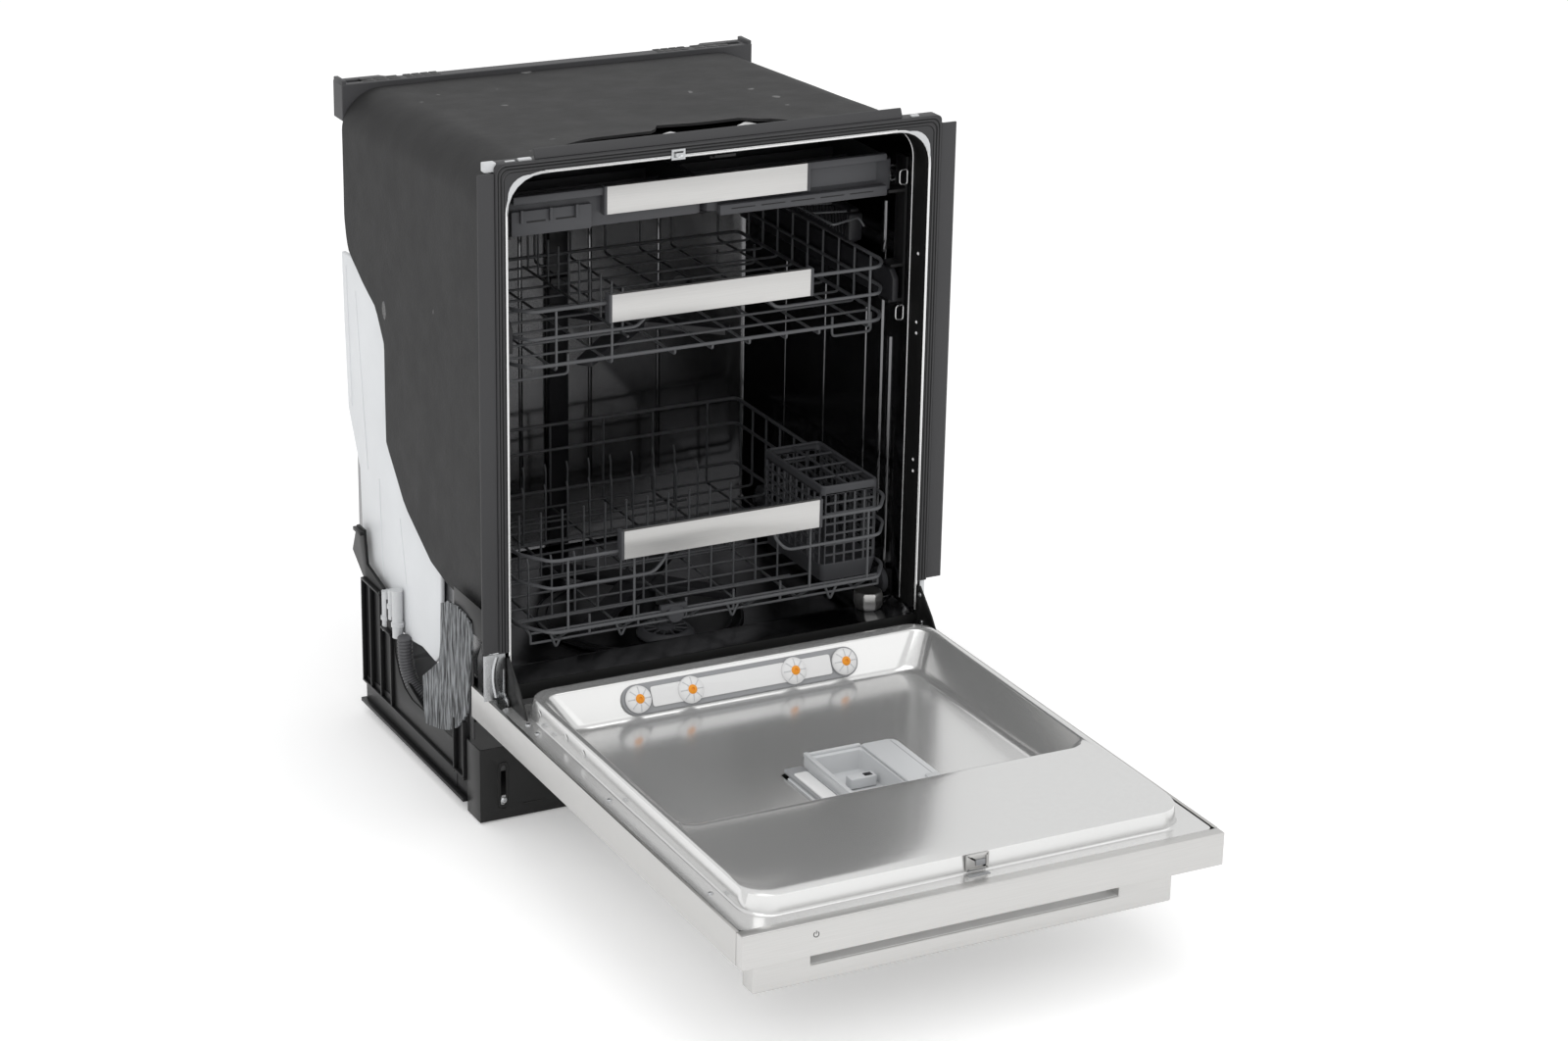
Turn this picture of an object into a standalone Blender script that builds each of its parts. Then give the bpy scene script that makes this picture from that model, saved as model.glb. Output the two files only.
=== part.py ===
"""Built-in dishwasher, standing with its door open and its three racks home.

Run with: blender --background --python part.py

Metres, +Z up, front facing -Y. The origin is the middle of the footprint on the floor.
Depths in this file are counted from the face of the front trim, which stands at FRONT_Y.
"""
from math import cos, pi, radians, sin

import bmesh
import bpy
from mathutils import Matrix, Vector

# Driving dimensions -------------------------------------------------------------------------
FRONT_Y = 0.0695          # world Y of the front trim face
GAP = 0.0003              # air between pieces that touch
OVERALL_HEIGHT = 0.854
DOOR_WIDTH = 0.603
DOOR_TOP_Y = -0.669       # far edge of the open door
DOOR_TAIL_Y = 0.064       # hinge-side edge of the outer panel, under the tub
DOOR_FRONT_Z = 0.137      # outer skin of the open door
FLANGE_Z = 0.177          # top of the outer panel's side flanges
LINER_Z = 0.2015          # raised platform of the inner liner
BASIN_Z = 0.157           # floor of the liner's recess
HINGE_Y, HINGE_Z = -0.002, 0.178

TUB_HALF = 0.2775         # inside of the tub
TUB_TOP = 0.8280          # ceiling at the mouth
TUB_SLOPE = 0.0476        # fall of the ceiling towards the back
TUB_BACK = 0.4935
TUB_SHEET = 0.0015
FLOOR_FRONT = 0.1980      # floor just inside the mouth
FLOOR_LOW = 0.1620        # floor over the sump
TRIM_HALF = 0.2915
TRIM_TOP = 0.8425
SEAL_HALF = 0.3125
SIDE_BOTTOM = 0.2413      # lower end of the trim and of the side seals

FILTER_X, FILTER_Y, FILTER_RADIUS = -0.005, 0.140, 0.031
ARM_X, ARM_Y = -0.005, 0.225
BASE_HALF = 0.2975
BASE_FRONT, BASE_BACK = 0.0865, 0.4360
BASE_BOTTOM = 0.012

# Rear and lower edge of the damping sheet on each side: (depth, height) from the top down
SHEET_EDGE = [(0.4940, 0.774), (0.4960, 0.705), (0.4960, 0.659), (0.4900, 0.628),
              (0.4840, 0.614), (0.4720, 0.604), (0.4330, 0.580), (0.3940, 0.562),
              (0.3660, 0.521), (0.3660, 0.391), (0.3060, 0.327), (0.2170, 0.280),
              (0.1290, 0.264), (0.0190, 0.262)]

RACK_BACK = 0.455
WIRE = 0.0022             # half thickness of a rack wire
HANDLE_HALF = 0.134

# Finishes: name -> colour, roughness, metallic
FINISHES = {
    "brushed_steel": ((0.62, 0.61, 0.60), 0.32, 1.0),
    "polished_steel": ((0.70, 0.70, 0.70), 0.16, 1.0),
    "tub_steel": ((0.34, 0.34, 0.35), 0.18, 1.0),
    "zinc_steel": ((0.55, 0.56, 0.58), 0.35, 1.0),
    "black_steel": ((0.03, 0.03, 0.03), 0.45, 0.2),
    "trim_plastic": ((0.065, 0.065, 0.068), 0.5, 0.0),
    "base_plastic": ((0.016, 0.016, 0.017), 0.5, 0.0),
    "rack_plastic": ((0.075, 0.075, 0.08), 0.45, 0.0),
    "light_plastic": ((0.62, 0.63, 0.64), 0.4, 0.0),
    "white_plastic": ((0.82, 0.83, 0.84), 0.35, 0.0),
    "dark_rubber": ((0.012, 0.012, 0.012), 0.6, 0.0),
    "bitumen": ((0.035, 0.035, 0.036), 0.75, 0.0),
    "fibre": ((0.12, 0.125, 0.13), 0.95, 0.0),
    "coated_wire": ((0.10, 0.10, 0.105), 0.4, 0.0),
    "hose_plastic": ((0.16, 0.16, 0.17), 0.45, 0.0),
    "pump_metal": ((0.25, 0.25, 0.26), 0.5, 0.7),
}


def finish(name):
    """The material of that name, made on first use."""
    found = bpy.data.materials.get(name)
    if found:
        return found
    colour, roughness, metallic = FINISHES[name]
    made = bpy.data.materials.new(name)
    made.use_nodes = True
    shader = made.node_tree.nodes["Principled BSDF"]
    shader.inputs["Base Color"].default_value = (*colour, 1.0)
    shader.inputs["Roughness"].default_value = roughness
    shader.inputs["Metallic"].default_value = metallic
    made.diffuse_color = (*colour, 1.0)
    return made


def pivot(name, x, y, z, parent=None):
    """An empty on a joint's axis, at a depth counted from the trim face."""
    empty = bpy.data.objects.new(name, None)
    bpy.context.collection.objects.link(empty)
    place = Vector((x, y + FRONT_Y, z))
    empty["place"] = place
    if parent:
        empty.parent = parent
        place = place - Vector(parent["place"])
    empty.location = place
    return empty


def make(name, bm, finish_name, parent=None, smooth=False):
    """An object of this mesh, hung on the parent empty when there is one."""
    origin = Vector(parent["place"]) if parent else Vector((0, 0, 0))
    bmesh.ops.translate(bm, verts=bm.verts, vec=Vector((0, FRONT_Y, 0)) - origin)
    bmesh.ops.recalc_face_normals(bm, faces=bm.faces)
    mesh = bpy.data.meshes.new(name)
    bm.to_mesh(mesh)
    bm.free()
    if smooth:
        mesh.shade_smooth()
        mesh.set_sharp_from_angle(angle=radians(35))
    made = bpy.data.objects.new(name, mesh)
    bpy.context.collection.objects.link(made)
    made.data.materials.append(finish(finish_name))
    if parent:
        made.parent = parent
    return made


def combine(target, operation, name, bm, parent=None):
    """Join or cut an object with a hidden helper solid."""
    helper = make(name, bm, "rack_plastic", parent)
    helper.hide_render = True
    helper.display_type = "WIRE"
    step = target.modifiers.new(name, "BOOLEAN")
    step.operation = operation
    step.solver = "EXACT"
    step.object = helper


# Solids -------------------------------------------------------------------------------------
def along(axis, a, b, depth):
    """A point from its two flat coordinates and its place along the axis."""
    return {"X": (depth, a, b), "Y": (a, depth, b), "Z": (a, b, depth)}[axis]


def skin(bm, rings, closed=False):
    """Walls between rings of equal length, with flat ends unless the rings close."""
    rows = [[bm.verts.new(p) for p in ring] for ring in rings]
    pairs = list(zip(rows, rows[1:] + rows[:1])) if closed else list(zip(rows, rows[1:]))
    count = len(rows[0])
    for low, high in pairs:
        for i in range(count):
            j = (i + 1) % count
            bm.faces.new((low[i], low[j], high[j], high[i]))
    if not closed:
        bm.faces.new(rows[0])
        bm.faces.new(list(reversed(rows[-1])))


def prism(bm, outline, axis, low, high):
    """An extruded outline."""
    skin(bm, [[along(axis, a, b, depth) for a, b in outline] for depth in (low, high)])


def box(bm, x, y, z):
    """A rectangular block from three (low, high) pairs."""
    outline = [(x[0], y[0]), (x[1], y[0]), (x[1], y[1]), (x[0], y[1])]
    prism(bm, outline, "Z", *z)


def rounded(a0, a1, b0, b1, radii, steps=4):
    """A rectangle with rounded corners; radii run from the low-low corner anticlockwise."""
    corners = [(a0, b0, pi), (a1, b0, 1.5 * pi), (a1, b1, 0.0), (a0, b1, 0.5 * pi)]
    inward = [(1, 1), (-1, 1), (-1, -1), (1, -1)]
    points = []
    for (a, b, start), (da, db), r in zip(corners, inward, radii):
        for i in range(steps + 1):
            turn = start + 0.5 * pi * i / steps
            points.append((a + da * r + r * cos(turn), b + db * r + r * sin(turn)))
    return points


def stadium(a0, a1, b0, b1, steps=6):
    """A bar outline with round ends."""
    r = (b1 - b0) / 2
    return rounded(a0, a1, b0, b1, (r * 0.999,) * 4, steps)


def circle(radius, count, a=0.0, b=0.0):
    """Points of a circle."""
    return [(a + radius * cos(2 * pi * i / count), b + radius * sin(2 * pi * i / count))
            for i in range(count)]


def turned(bm, profile, centre, axis="Z", count=24):
    """A solid of revolution from (radius, height) points; both ends lie on the axis."""
    rings = []
    for radius, height in profile[1:-1]:
        flat = circle(radius, count, *centre)
        rings.append([bm.verts.new(along(axis, a, b, height)) for a, b in flat])
    ends = [bm.verts.new(along(axis, *centre, profile[k][1])) for k in (0, -1)]
    for low, high in zip(rings, rings[1:]):
        for i in range(count):
            j = (i + 1) % count
            bm.faces.new((low[i], low[j], high[j], high[i]))
    for ring, end in ((rings[0], ends[0]), (rings[-1], ends[1])):
        for i in range(count):
            bm.faces.new((ring[i], ring[(i + 1) % count], end))


def cylinder(bm, radius, centre, low, high, axis="Z", count=24):
    """A plain round bar."""
    prism(bm, circle(radius, count, *centre), axis, low, high)


def cup(bm, outer, inner, axis, mouth, end, floor):
    """A solid with one hollow, open at the mouth; floor is the hollow's own end."""
    rings = [(outer, end), (outer, mouth), (inner, mouth), (inner, floor)]
    skin(bm, [[along(axis, a, b, depth) for a, b in ring] for ring, depth in rings])


def start_side(points):
    """A direction square to the plane a bent bar lies in, or to a straight bar."""
    for a, b, c in zip(points, points[1:], points[2:]):
        normal = (b - a).cross(c - b)
        if normal.length > 1e-9:
            return normal.normalized()
    heading = points[1] - points[0]
    upright = Vector((0, 0, 1)) if abs(heading.z) < abs(heading.x) + abs(heading.y) else None
    return upright or Vector((1, 0, 0))


def tube(bm, points, radius, sides=4, loop=False):
    """A bar swept along points."""
    points = [Vector(p) for p in points]
    count = len(points)
    rings = []
    for i, point in enumerate(points):
        before = points[i - 1] if i or loop else point
        after = points[(i + 1) % count] if i < count - 1 or loop else point
        if loop or 0 < i < count - 1:
            into, out = (point - before).normalized(), (after - point).normalized()
            heading = (into + out).normalized()
            stretch = 1 / max(heading.dot(into), 0.5)
        else:
            heading, stretch = (after - before).normalized(), 1.0
        side = rings[-1][1] if rings else start_side(points)
        side = (side - heading * side.dot(heading)).normalized()
        lift = side.cross(heading).normalized()
        bend = None
        if stretch > 1.001:
            bend = (out - into).normalized()
        ring = []
        for k in range(sides):
            turn = 2 * pi * (k + 0.5) / sides
            offset = (side * cos(turn) + lift * sin(turn)) * radius
            if bend:
                offset += bend * offset.dot(bend) * (stretch - 1)
            ring.append(point + offset)
        rings.append((ring, side))
    skin(bm, [ring for ring, _ in rings], closed=loop)


# Cabinet ------------------------------------------------------------------------------------
def build_tub():
    """The stainless tub: sloping ceiling, stepped floor and a round hole for the filter."""
    def ring(depth, floor, grow):
        top = TUB_TOP - TUB_SLOPE * depth + grow
        half, low = TUB_HALF + grow, floor - grow
        flat = rounded(-half, half, low, top, (0.003 + grow, 0.003 + grow,
                                               0.0435 + grow, 0.0435 + grow), 4)
        return [(a, depth, b) for a, b in flat]
    floor = [(0.0, FLOOR_FRONT), (0.058, FLOOR_FRONT), (0.076, FLOOR_LOW), (TUB_BACK, FLOOR_LOW)]
    outside = [ring(depth, low, TUB_SHEET) for depth, low in reversed(floor)]
    outside[0] = ring(TUB_BACK + TUB_SHEET, FLOOR_LOW, TUB_SHEET)
    inside = [ring(depth, low, 0.0) for depth, low in floor]
    bm = bmesh.new()
    skin(bm, outside + inside)
    tub = make("tub", bm, "tub_steel")
    bm = bmesh.new()
    cylinder(bm, 0.0400, (FILTER_X, FILTER_Y), FLOOR_LOW - 0.02, FLOOR_LOW + 0.02, count=32)
    combine(tub, "DIFFERENCE", "tub_sump_hole", bm)
    for side, name in ((-1, "tub_ledge_left"), (1, "tub_ledge_right")):
        outline = [(side * 0.2610, LINER_Z - 0.0030), (side * 0.2782, LINER_Z - 0.0030),
                   (side * 0.2782, LINER_Z), (side * 0.2610, LINER_Z)]
        bm = bmesh.new()
        prism(bm, outline, "Y", 0.0600, 0.4700)
        combine(tub, "UNION", name, bm)


def arch(half, top, radius, low, steps=4):
    """An arch line: up the left side, over the two round corners and down the right side."""
    points = [(-half, low)]
    for start, a in ((pi, -half + radius), (0.5 * pi, half - radius)):
        for i in range(steps + 1):
            turn = start - 0.5 * pi * i / steps
            points.append((a + radius * cos(turn), top - radius + radius * sin(turn)))
    points.append((half, low))
    return points


def build_front():
    """The trim frame, its seals and the rubber gasket in the mouth."""
    grow = TUB_SHEET + GAP
    outer = arch(TRIM_HALF, TRIM_TOP, 0.006, SIDE_BOTTOM)
    inner = arch(TUB_HALF + grow, TUB_TOP + grow, 0.0435 + grow, SIDE_BOTTOM)
    bm = bmesh.new()
    prism(bm, outer + inner[::-1], "Y", -0.0010, 0.0180)
    make("front_trim", bm, "trim_plastic")
    for side, name in ((-1, "side_seal_left"), (1, "side_seal_right")):
        near, far = side * (TRIM_HALF + GAP), side * SEAL_HALF
        outline = [(near, 0.0), (far, 0.0), (far, 0.0030), (side * 0.2950, 0.0030),
                   (side * 0.2950, 0.0170), (near, 0.0170)]
        make_prism(name, outline, "Z", SIDE_BOTTOM + 0.0017, 0.8320, "trim_plastic")
    bm = bmesh.new()
    prism(bm, [(0.0030, TRIM_TOP + GAP), (0.0070, TRIM_TOP + GAP), (0.0110, OVERALL_HEIGHT),
               (0.0085, OVERALL_HEIGHT)], "X", -0.2397, 0.2397)
    make("top_seal_flap", bm, "trim_plastic")
    bm = bmesh.new()
    rings = []
    for depth in (0.0040, 0.0360):
        fall = TUB_SLOPE * depth
        line_out = arch(TUB_HALF - GAP, TUB_TOP - GAP - fall, 0.0432, 0.2040)
        line_in = arch(TUB_HALF - 0.0037, TUB_TOP - 0.0037 - fall, 0.0398, 0.2040)
        rings.append([(a, depth, b) for a, b in line_out + line_in[::-1]])
    skin(bm, rings)
    make("tub_gasket", bm, "dark_rubber")
    bm = bmesh.new()
    prism(bm, [(0.0060, 0.8225), (0.0220, 0.8225), (0.0220, 0.8155), (0.0180, 0.8155),
               (0.0180, 0.8190), (0.0060, 0.8190)], "X", -0.010, 0.018)
    make("door_strike", bm, "zinc_steel")


def build_damping_sheet():
    """The bitumen sheet bent over the tub, with its wavy rear and lower edges."""
    half, thick = 0.2865, 0.0065
    bm = bmesh.new()
    rings = []
    for depth in (0.0185, 0.4975):
        top = TUB_TOP - TUB_SLOPE * depth + TUB_SHEET + 0.0007 + thick
        outer = arch(half, top, 0.0520, 0.262)
        inner = arch(half - thick, top - thick, 0.0455, 0.262)
        rings.append([(a, depth, b) for a, b in outer + inner[::-1]])
    skin(bm, rings)
    sheet = make("damping_sheet", bm, "bitumen")
    bm = bmesh.new()
    edge = SHEET_EDGE + [(0.010, 0.262), (0.010, 0.20), (0.530, 0.20), (0.530, 0.774)]
    prism(bm, edge, "X", -0.33, 0.33)
    combine(sheet, "DIFFERENCE", "damping_sheet_edge", bm)


def build_rear_bracket():
    """The plastic bar across the top of the back, with its two end blocks."""
    outline = [(-0.287, 0.4985), (0.287, 0.4985), (0.287, 0.530), (0.225, 0.530),
               (0.215, 0.518), (-0.215, 0.518), (-0.225, 0.530), (-0.287, 0.530)]
    bar = make_prism("rear_top_bracket", outline, "Z", 0.774, 0.821, "base_plastic")
    bm = bmesh.new()
    for x in (-0.262, 0.262):
        box(bm, (x - 0.014, x + 0.014), (0.508, 0.521), (0.800, 0.83))
    combine(bar, "DIFFERENCE", "rear_top_bracket_pockets", bm)


def make_prism(name, outline, axis, low, high, finish_name, parent=None):
    """An object that is one extruded outline."""
    bm = bmesh.new()
    prism(bm, outline, axis, low, high)
    return make(name, bm, finish_name, parent)


def build_side_fittings():
    """The water guide, the insulation pad and the drain hose on the left side."""
    front = [(y + 0.0010, z - 0.0015) for y, z in SHEET_EDGE[5:12]]
    guide = [(0.518, 0.600), (0.514, 0.498), (0.507, 0.393), (0.470, 0.322), (0.463, 0.184),
             (0.402, 0.178), (0.365, 0.132), (0.345, 0.145), (0.295, 0.145), (0.262, 0.150),
             (0.219, 0.146), (0.200, 0.163), (0.197, 0.272)]
    make_prism("water_guide", guide + front[::-1], "X", -0.2860, -0.2796, "white_plastic")
    pad = [(0.128, 0.056), (0.210, 0.060), (0.210, 0.140), (0.194, 0.160), (0.192, 0.258),
           (0.128, 0.256)]
    make_prism("insulation_pad", pad, "X", -0.2900, -0.2796, "fibre")
    route = []
    knots = [(-0.262, 0.318, 0.150), (-0.262, 0.316, 0.118), (-0.258, 0.296, 0.086),
             (-0.240, 0.255, 0.066), (-0.205, 0.215, 0.060), (-0.150, 0.192, 0.060)]
    for i in range(21):
        route.append(bezier(knots, i / 20))
    bm = bmesh.new()
    tube(bm, route, 0.0115, 10)
    make("drain_hose", bm, "hose_plastic", smooth=True)


def bezier(knots, t):
    """A point on the Bezier curve through these control points."""
    row = [Vector(k) for k in knots]
    while len(row) > 1:
        row = [a.lerp(b, t) for a, b in zip(row, row[1:])]
    return row[0]


def build_base():
    """The base tray with its side frames, the toe-kick plate and the levelling feet."""
    outer = rounded(-BASE_HALF, BASE_HALF, BASE_FRONT, BASE_BACK, (0.006,) * 4, 2)
    inner = rounded(-BASE_HALF + 0.005, BASE_HALF - 0.005, BASE_FRONT + 0.004,
                    BASE_BACK - 0.004, (0.004,) * 4, 2)
    bm = bmesh.new()
    cup(bm, outer, inner, "Z", 0.0440, BASE_BOTTOM, BASE_BOTTOM + 0.004)
    tray = make("base_tray", bm, "base_plastic")
    frame = [(0.0900, 0.0300), (0.4300, 0.0300), (0.4330, 0.0920), (0.4370, 0.1850),
             (0.4740, 0.2100), (0.4570, 0.2500), (0.4330, 0.2500), (0.4250, 0.2060),
             (0.3670, 0.1930), (0.3190, 0.1450), (0.3090, 0.1020), (0.2680, 0.0880),
             (0.1280, 0.0500), (0.1240, 0.0560), (0.1240, 0.2560), (0.0900, 0.2430)]
    for side, name in ((-1, "base_tray_left_frame"), (1, "base_tray_right_frame")):
        x = sorted((side * (BASE_HALF - 0.0045), side * (BASE_HALF - 0.0005)))
        bm = bmesh.new()
        prism(bm, frame, "X", *x)
        combine(tray, "UNION", name, bm)
    half, front, depth = 0.300, 0.0440, 0.0845
    outline = [(-half, depth), (-half, front), (half, front), (half, depth),
               (half - 0.002, depth), (half - 0.002, front + 0.002),
               (-half + 0.002, front + 0.002), (-half + 0.002, depth)]
    plate = make_prism("toe_kick_plate", outline, "Z", 0.0020, 0.0985, "black_steel")
    bm = bmesh.new()
    for x in (-0.269, 0.269):
        prism(bm, rounded(x - 0.0035, x + 0.0035, 0.0200, 0.0730, (0.0034,) * 4, 3), "Y",
              0.035, 0.055)
    combine(plate, "DIFFERENCE", "toe_kick_slots", bm)
    for name, x, y in (("foot_front_left", -0.262, 0.112), ("foot_front_right", 0.262, 0.112),
                       ("foot_rear_left", -0.262, 0.410), ("foot_rear_right", 0.262, 0.410)):
        bm = bmesh.new()
        turned(bm, [(0, 0), (0.017, 0), (0.018, 0.002), (0.018, 0.006), (0.009, 0.008),
                    (0.009, BASE_BOTTOM - GAP), (0, BASE_BOTTOM - GAP)], (x, y), count=16)
        make(name, bm, "base_plastic", pivot(f"{name}_axis", x, y, 0.0), smooth=True)


def build_machinery():
    """The sump, the pumps, the valve and the junction box inside the base."""
    well = (FILTER_X, FILTER_Y)
    bm = bmesh.new()
    turned(bm, [(0, 0.0950), (0.0400, 0.0950), (0.0480, 0.1050), (0.0480, 0.1550),
                (0.0520, 0.1575), (0.0520, 0.1602), (0.0440, 0.1602), (0.0440, 0.1080),
                (0.0370, 0.0985), (0, 0.0985)], well, count=24)
    make("sump_housing", bm, "base_plastic", smooth=True)
    plate = make_prism("filter_plate", circle(0.134, 32, FILTER_X, 0.217), "Z", 0.1625, 0.1650,
                       "pump_metal")
    bm = bmesh.new()
    cylinder(bm, 0.0375, well, 0.15, 0.18)
    combine(plate, "DIFFERENCE", "filter_plate_hole", bm)
    bm = bmesh.new()
    turned(bm, [(0, 0.060), (0.030, 0.060), (0.042, 0.075), (0.042, 0.185), (0.034, 0.195),
                (0, 0.195)], (0.300, 0.100), "X", 20)
    make("wash_pump", bm, "pump_metal", smooth=True)
    bm = bmesh.new()
    turned(bm, [(0, -0.136), (0.024, -0.136), (0.028, -0.130), (0.028, -0.075),
                (0.020, -0.070), (0, -0.070)], (0.200, 0.060), "X", 16)
    make("drain_pump", bm, "base_plastic", smooth=True)
    bm = bmesh.new()
    prism(bm, [(0.372, 0.040), (0.420, 0.040), (0.420, 0.086), (0.404, 0.086),
               (0.404, 0.110), (0.384, 0.110), (0.384, 0.086), (0.372, 0.086)], "X",
          -0.262, -0.222)
    make("inlet_valve", bm, "white_plastic")
    outline = rounded(0.170, 0.262, 0.100, 0.160, (0.006,) * 4, 2)
    make_prism("junction_box", outline, "Z", 0.0165, 0.070, "zinc_steel")


def build_spray_riser():
    """The water pipe up the back wall, with its bend under the ceiling."""
    bm = bmesh.new()
    prism(bm, [(0.4930, 0.1660), (0.4930, 0.8000), (0.2380, 0.8000), (0.2380, 0.7955),
               (0.4810, 0.7955), (0.4810, 0.5420), (0.4740, 0.5420), (0.4740, 0.5260),
               (0.4810, 0.5260), (0.4810, 0.1660)], "X", -0.014, 0.014)
    make("spray_riser", bm, "rack_plastic")


def build_rail_guides():
    """The upright guide plates on the side walls that carry the two upper racks' rails."""
    for side, name in ((-1, "rail_guide_left"), (1, "rail_guide_right")):
        wall, plate = TUB_HALF - GAP, TUB_HALF - 0.0036
        outline = [(wall, 0.5900), (wall, 0.7790), (plate, 0.7790)]
        for tip, low in ((0.2500, 0.7357), (0.2560, 0.6404), (0.2540, 0.5956)):
            outline += [(plate, low + 0.0040), (tip, low + 0.0040), (tip, low), (plate, low)]
        outline.append((plate, 0.5900))
        make_prism(name, [(side * a, b) for a, b in outline], "Y", 0.052, 0.078,
                   "rack_plastic")


def build_hinge_brackets():
    """The fixed plates beside the tub's front corners, each with the pin the door turns on."""
    outline = [(0.0000, 0.1900), (0.0020, 0.2405), (0.0600, 0.2405), (0.0800, 0.2050),
               (0.0800, 0.1520), (0.0200, 0.1520), (-0.0060, 0.1690)]
    boss = [(HINGE_Y + 0.009 * cos(t), HINGE_Z + 0.009 * sin(t))
            for t in (radians(a) for a in (210, 180, 150, 120, 90))]
    for side, name in ((-1, "hinge_bracket_left"), (1, "hinge_bracket_right")):
        x = sorted((side * 0.2832, side * 0.2862))
        bracket = make_prism(name, boss + outline[:-1], "X", *x, "zinc_steel")
        pin = sorted((side * 0.2784, side * 0.2846))
        bm = bmesh.new()
        cylinder(bm, 0.0040, (HINGE_Y, HINGE_Z), *pin, axis="X", count=16)
        combine(bracket, "UNION", f"{name}_pin", bm)


# Door ---------------------------------------------------------------------------------------
def build_door(axis):
    """The open door: outer panel, inner liner, hinge arms, controls, handle and fittings."""
    half, sheet = DOOR_WIDTH / 2, 0.0010
    low, top = DOOR_FRONT_Z, FLANGE_Z
    lip, in_top = half - 0.0040, FLANGE_Z - sheet
    inner = half - sheet
    section = [(-half, low), (half, low), (half, top), (lip, top), (lip, in_top),
               (inner, in_top), (inner, low + sheet), (-inner, low + sheet),
               (-inner, in_top), (-lip, in_top), (-lip, top), (-half, top)]
    make_prism("door_outer_panel", section, "Y", DOOR_TOP_Y + 0.0148, DOOR_TAIL_Y,
               "brushed_steel", axis)
    build_liner(axis)
    bm = bmesh.new()
    box(bm, (-half, half), (DOOR_TOP_Y, DOOR_TOP_Y + 0.0145), (low, top))
    make("control_strip", bm, "brushed_steel", axis)
    build_handle(axis)
    build_hinge_arms(axis)
    bm = bmesh.new()
    box(bm, (-0.0140, 0.0140), (-0.6385, -0.6357), (0.1790, 0.1995))
    make("latch_receiver", bm, "light_plastic", axis)
    build_nozzle_bar(axis)
    build_dispenser(axis)


def build_liner(axis):
    """The pressed inner liner: flange, skirt, raised platform and recessed basin."""
    rings = [
        (0.2960, -0.6530, -0.0120, FLANGE_Z - 0.0013, 0.008),
        (0.2735, -0.6352, -0.0240, FLANGE_Z - 0.0013, 0.034),
        (0.2725, -0.6322, -0.0290, LINER_Z - 0.0030, 0.032),
        (0.2700, -0.6297, -0.0310, LINER_Z, 0.030),
        (0.2630, -0.4420, -0.0510, LINER_Z, 0.022),
        (0.2360, -0.4320, -0.0740, BASIN_Z, 0.030),
    ]
    bm = bmesh.new()
    rows = []
    for half, near, far, height, radius in rings:
        flat = rounded(-half, half, near, far, (radius,) * 4, 4)
        rows.append([bm.verts.new((a, b, height)) for a, b in flat])
    for low, high in zip(rows, rows[1:]):
        for i in range(len(low)):
            j = (i + 1) % len(low)
            bm.faces.new((low[i], low[j], high[j], high[i]))
    bm.faces.new(rows[-1])
    liner = make("door_liner", bm, "polished_steel", axis)
    if liner.data.polygons[-1].normal.z < 0:
        liner.data.flip_normals()
    shell = liner.modifiers.new("sheet", "SOLIDIFY")
    shell.thickness = 0.0010
    shell.offset = -1.0
    shell.use_even_offset = True
    bm = bmesh.new()
    prism(bm, rounded(-0.0595, 0.0915, -0.4265, -0.2825, (0.006,) * 4, 2), "Z", 0.150, 0.163)
    combine(liner, "DIFFERENCE", "door_liner_dispenser_hole", bm, axis)


def build_handle(axis):
    """The bar handle on the door's face, on its two end posts."""
    reach, post, bottom, bar = 0.265, 0.195, 0.0795, 0.1000
    top = DOOR_FRONT_Z - GAP
    outline = [(-reach, bottom), (reach, bottom), (reach, top), (post, top), (post, bar),
               (-post, bar), (-post, top), (-reach, top)]
    make_prism("door_handle", outline, "Y", -0.624, -0.598, "brushed_steel", axis)


def build_hinge_arms(axis):
    """The door's two hinge arms and the cross member that ties them under the liner."""
    arm = [(-0.1100, 0.1392), (0.0100, 0.1392), (0.0100, 0.1880), (-0.0100, 0.1880),
           (-0.0105, 0.1740), (-0.1100, 0.1740)]
    left = make_prism("hinge_arms", arm, "X", -0.2822, -0.2795, "black_steel", axis)
    bm = bmesh.new()
    prism(bm, arm, "X", 0.2795, 0.2822)
    bm_bar = bmesh.new()
    box(bm_bar, (-0.2810, 0.2810), (-0.1050, -0.0900), (0.1400, 0.1500))
    combine(left, "UNION", "hinge_cross_member", bm_bar, axis)
    combine(left, "UNION", "hinge_arm_right", bm, axis)
    bm = bmesh.new()
    cylinder(bm, 0.0048, (HINGE_Y, HINGE_Z), -0.2900, 0.2900, axis="X", count=16)
    combine(left, "DIFFERENCE", "hinge_arm_holes", bm, axis)


def build_nozzle_bar(axis):
    """The nozzle plate on the basin's sloping wall, with its four round nozzles."""
    middle = Vector((0, -0.0625, 0.17925))
    up_wall = Vector((0, 0.0230, 0.0445)).normalized()
    outward = Vector((0, -up_wall.z, up_wall.y))
    turn = Matrix((Vector((1, 0, 0)), up_wall, outward)).transposed().to_4x4()
    stand = Matrix.Translation(middle) @ turn
    bm = bmesh.new()
    prism(bm, stadium(-0.160, 0.160, -0.0185, 0.0185, 5), "Z", 0.0006, 0.0050)
    bmesh.ops.transform(bm, matrix=stand, verts=bm.verts)
    bar = make("nozzle_bar", bm, "light_plastic", axis)
    bm = bmesh.new()
    for x in (-0.140, -0.070, 0.070, 0.140):
        turned(bm, [(0, 0.0030), (0.0175, 0.0030), (0.0165, 0.0080), (0.0110, 0.0110),
                    (0, 0.0125)], (x, 0.0), count=16)
    bmesh.ops.transform(bm, matrix=stand, verts=bm.verts)
    combine(bar, "UNION", "nozzle_domes", bm, axis)


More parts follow.
